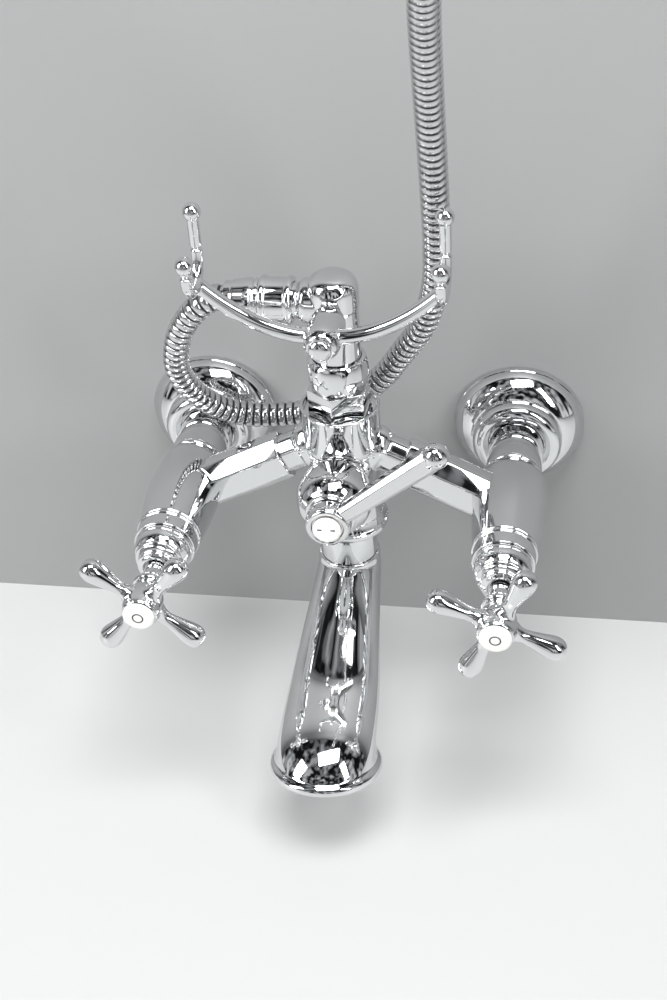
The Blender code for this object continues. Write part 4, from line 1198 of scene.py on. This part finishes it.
def plane(name, material, corners):
    """A flat sheet of the room, which is no part of the object."""
    bm = bmesh.new()
    bm.faces.new([bm.verts.new(corner) for corner in corners])
    mesh = bpy.data.meshes.new(name)
    bm.to_mesh(mesh)
    bm.free()
    mesh.materials.append(material)
    sheet = bpy.data.objects.new(name, mesh)
    bpy.context.scene.collection.objects.link(sheet)


def painted_light_pool(tree, shader, near, far, start, stop):
    """Painted light: paint that is one colour round the mixer and fades to a darker one far from it, a
    painted pool of window light and its painted falloff into shade.
    """
    place = node(tree, "ShaderNodeTexCoord").outputs["Object"]
    away = node(tree, "ShaderNodeVectorMath", {0: place}, operation="LENGTH")
    share = node(
        tree,
        "ShaderNodeMapRange",
        {"Value": away.outputs["Value"], "From Min": start, "From Max": stop},
        interpolation_type="SMOOTHSTEP",
    )
    colour = node(
        tree,
        "ShaderNodeMix",
        {0: share.outputs["Result"], 6: linear(near), 7: linear(far)},
        data_type="RGBA",
    )
    tree.links.new(colour.outputs[2], shader.inputs["Base Color"])


def one_sided(tree, shader, holes=()):
    """Paint that is thin air from behind and in round holes, each a centre and a radius, so that a sheet of
    the room never hides the mixer."""
    behind = node(tree, "ShaderNodeNewGeometry").outputs["Backfacing"]
    place = node(tree, "ShaderNodeTexCoord").outputs["Object"]
    for centre, radius in holes:
        away = node(tree, "ShaderNodeVectorMath", {0: place, 1: centre}, operation="DISTANCE")
        inside = node(tree, "ShaderNodeMath", {0: away.outputs["Value"], 1: radius}, operation="LESS_THAN")
        either = node(tree, "ShaderNodeMath", {0: behind, 1: inside.outputs["Value"]}, operation="MAXIMUM")
        behind = either.outputs["Value"]
    clear = node(tree, "ShaderNodeBsdfTransparent")
    either = node(
        tree,
        "ShaderNodeMixShader",
        {0: behind, 1: shader.outputs["BSDF"], 2: clear.outputs["BSDF"]},
    )
    tree.links.new(either.outputs["Shader"], tree.nodes["Material Output"].inputs["Surface"])


floor_paint, tree, shader = surface("pale_floor_paint_painted_light_pool")
# Painted light: the floor is lighter round the mixer and darker far from it, a painted pool of light.
painted_light_pool(tree, shader, "#C2C3C3", "#8E8F8F", start=0.5, stop=1.8)
one_sided(tree, shader)
shader.inputs["Roughness"].default_value = 0.55
quarters = ((-1, -1), (1, -1), (1, 1), (-1, 1))
plane("floor", floor_paint, [(x * FLOOR_HALF, y * FLOOR_HALF, FLOOR_DOWN) for x, y in quarters])
wall_paint, tree, shader = surface("grey_wall_paint_painted_light_pool")
# Painted light and shade: the wall is lighter round the mixer and fades to near black far from it, a painted
# pool of light and painted shade.
painted_light_pool(tree, shader, "#989999", "#353637", start=0.25, stop=0.9)
shader.inputs["Roughness"].default_value = 0.7
one_sided(tree, shader, [((sign * inlet_x * MM, 0.0, 0.0), WALL_HOLE_R) for sign in (-1, 1)])
heights = (FLOOR_DOWN, FLOOR_DOWN, WALL_TALL, WALL_TALL)
sides_x = (-WALL_HALF, WALL_HALF, WALL_HALF, -WALL_HALF)
plane("wall", wall_paint, [(x, WALL_BACK, z) for x, z in zip(sides_x, heights)])

world = bpy.data.worlds.new("grey_room")
bpy.context.scene.world = world
world.use_nodes = True
tree = world.node_tree
sky = node(tree, "ShaderNodeTexCoord").outputs["Generated"]
split = node(tree, "ShaderNodeSeparateXYZ", {"Vector": sky})
bands = node(tree, "ShaderNodeValToRGB", {"Fac": split.outputs["Z"]})
stops = bands.color_ramp
stops.elements[0].position = 0.0
stops.elements[0].color = linear("#E6E6E7")
stops.elements[1].position = 1.0
stops.elements[1].color = linear("#9D9EA0")
for position, code in ((0.42, "#CCCDCE"), (0.5, "#919294"), (0.58, "#C5C6C7"), (0.8, "#B3B4B5")):
    stops.elements.new(position).color = linear(code)
tall_streaks = node(tree, "ShaderNodeMapping", {"Vector": sky, "Scale": (1.0, 1.0, 0.3)})
streaks = tall_streaks.outputs["Vector"]
patches = node(tree, "ShaderNodeTexNoise", {"Vector": streaks, "Scale": 6.0, "Detail": 1.5})
cards = node(tree, "ShaderNodeValToRGB", {"Fac": patches.outputs["Fac"]})
edges = cards.color_ramp
edges.elements[0].position = 0.36
edges.elements[0].color = linear("#1E1F20")
edges.elements[1].position = 0.66
edges.elements[1].color = linear("#FFFFFF")
for position, code in ((0.44, "#3A3B3C"), (0.48, "#9E9FA0"), (0.55, "#B9BCBF"), (0.58, "#F5F5F5")):
    edges.elements.new(position).color = linear(code)
toned = node(
    tree,
    "ShaderNodeMix",
    {6: bands.outputs["Color"], 7: cards.outputs["Color"], 0: 1.0},
    data_type="RGBA",
    blend_type="MULTIPLY",
)
straight = node(tree, "ShaderNodeLightPath").outputs["Is Camera Ray"]
plain = node(
    tree,
    "ShaderNodeMix",
    {0: straight, 6: toned.outputs[2], 7: linear("#B9BABA")},
    data_type="RGBA",
)  # what the eye sees past the floor and the wall is plain pale paper
back = tree.nodes["Background"]
tree.links.new(plain.outputs[2], back.inputs["Color"])
back.inputs["Strength"].default_value = 1.0

# Each window: its name, place, width, height and power. They face the mixer.
WINDOWS = (
    ("left_window", (-1.2, -0.9, 0.8), 0.45, 1.1, 20.0),
    ("right_window", (1.1, -0.9, 0.9), 0.25, 1.1, 12.0),
    ("top_window", (0.15, -0.55, 1.5), 0.9, 0.5, 24.0),
)
for name, where, wide, tall, power in WINDOWS:
    lamp = bpy.data.lights.new(name, "AREA")
    lamp.shape = "RECTANGLE"
    lamp.size = wide
    lamp.size_y = tall
    lamp.energy = power
    window = bpy.data.objects.new(name, lamp)
    window.location = where
    window.rotation_euler = (-Vector(where)).to_track_quat("-Z", "Y").to_euler()
    bpy.context.scene.collection.objects.link(window)
bpy.context.scene.view_settings.view_transform = "Standard"
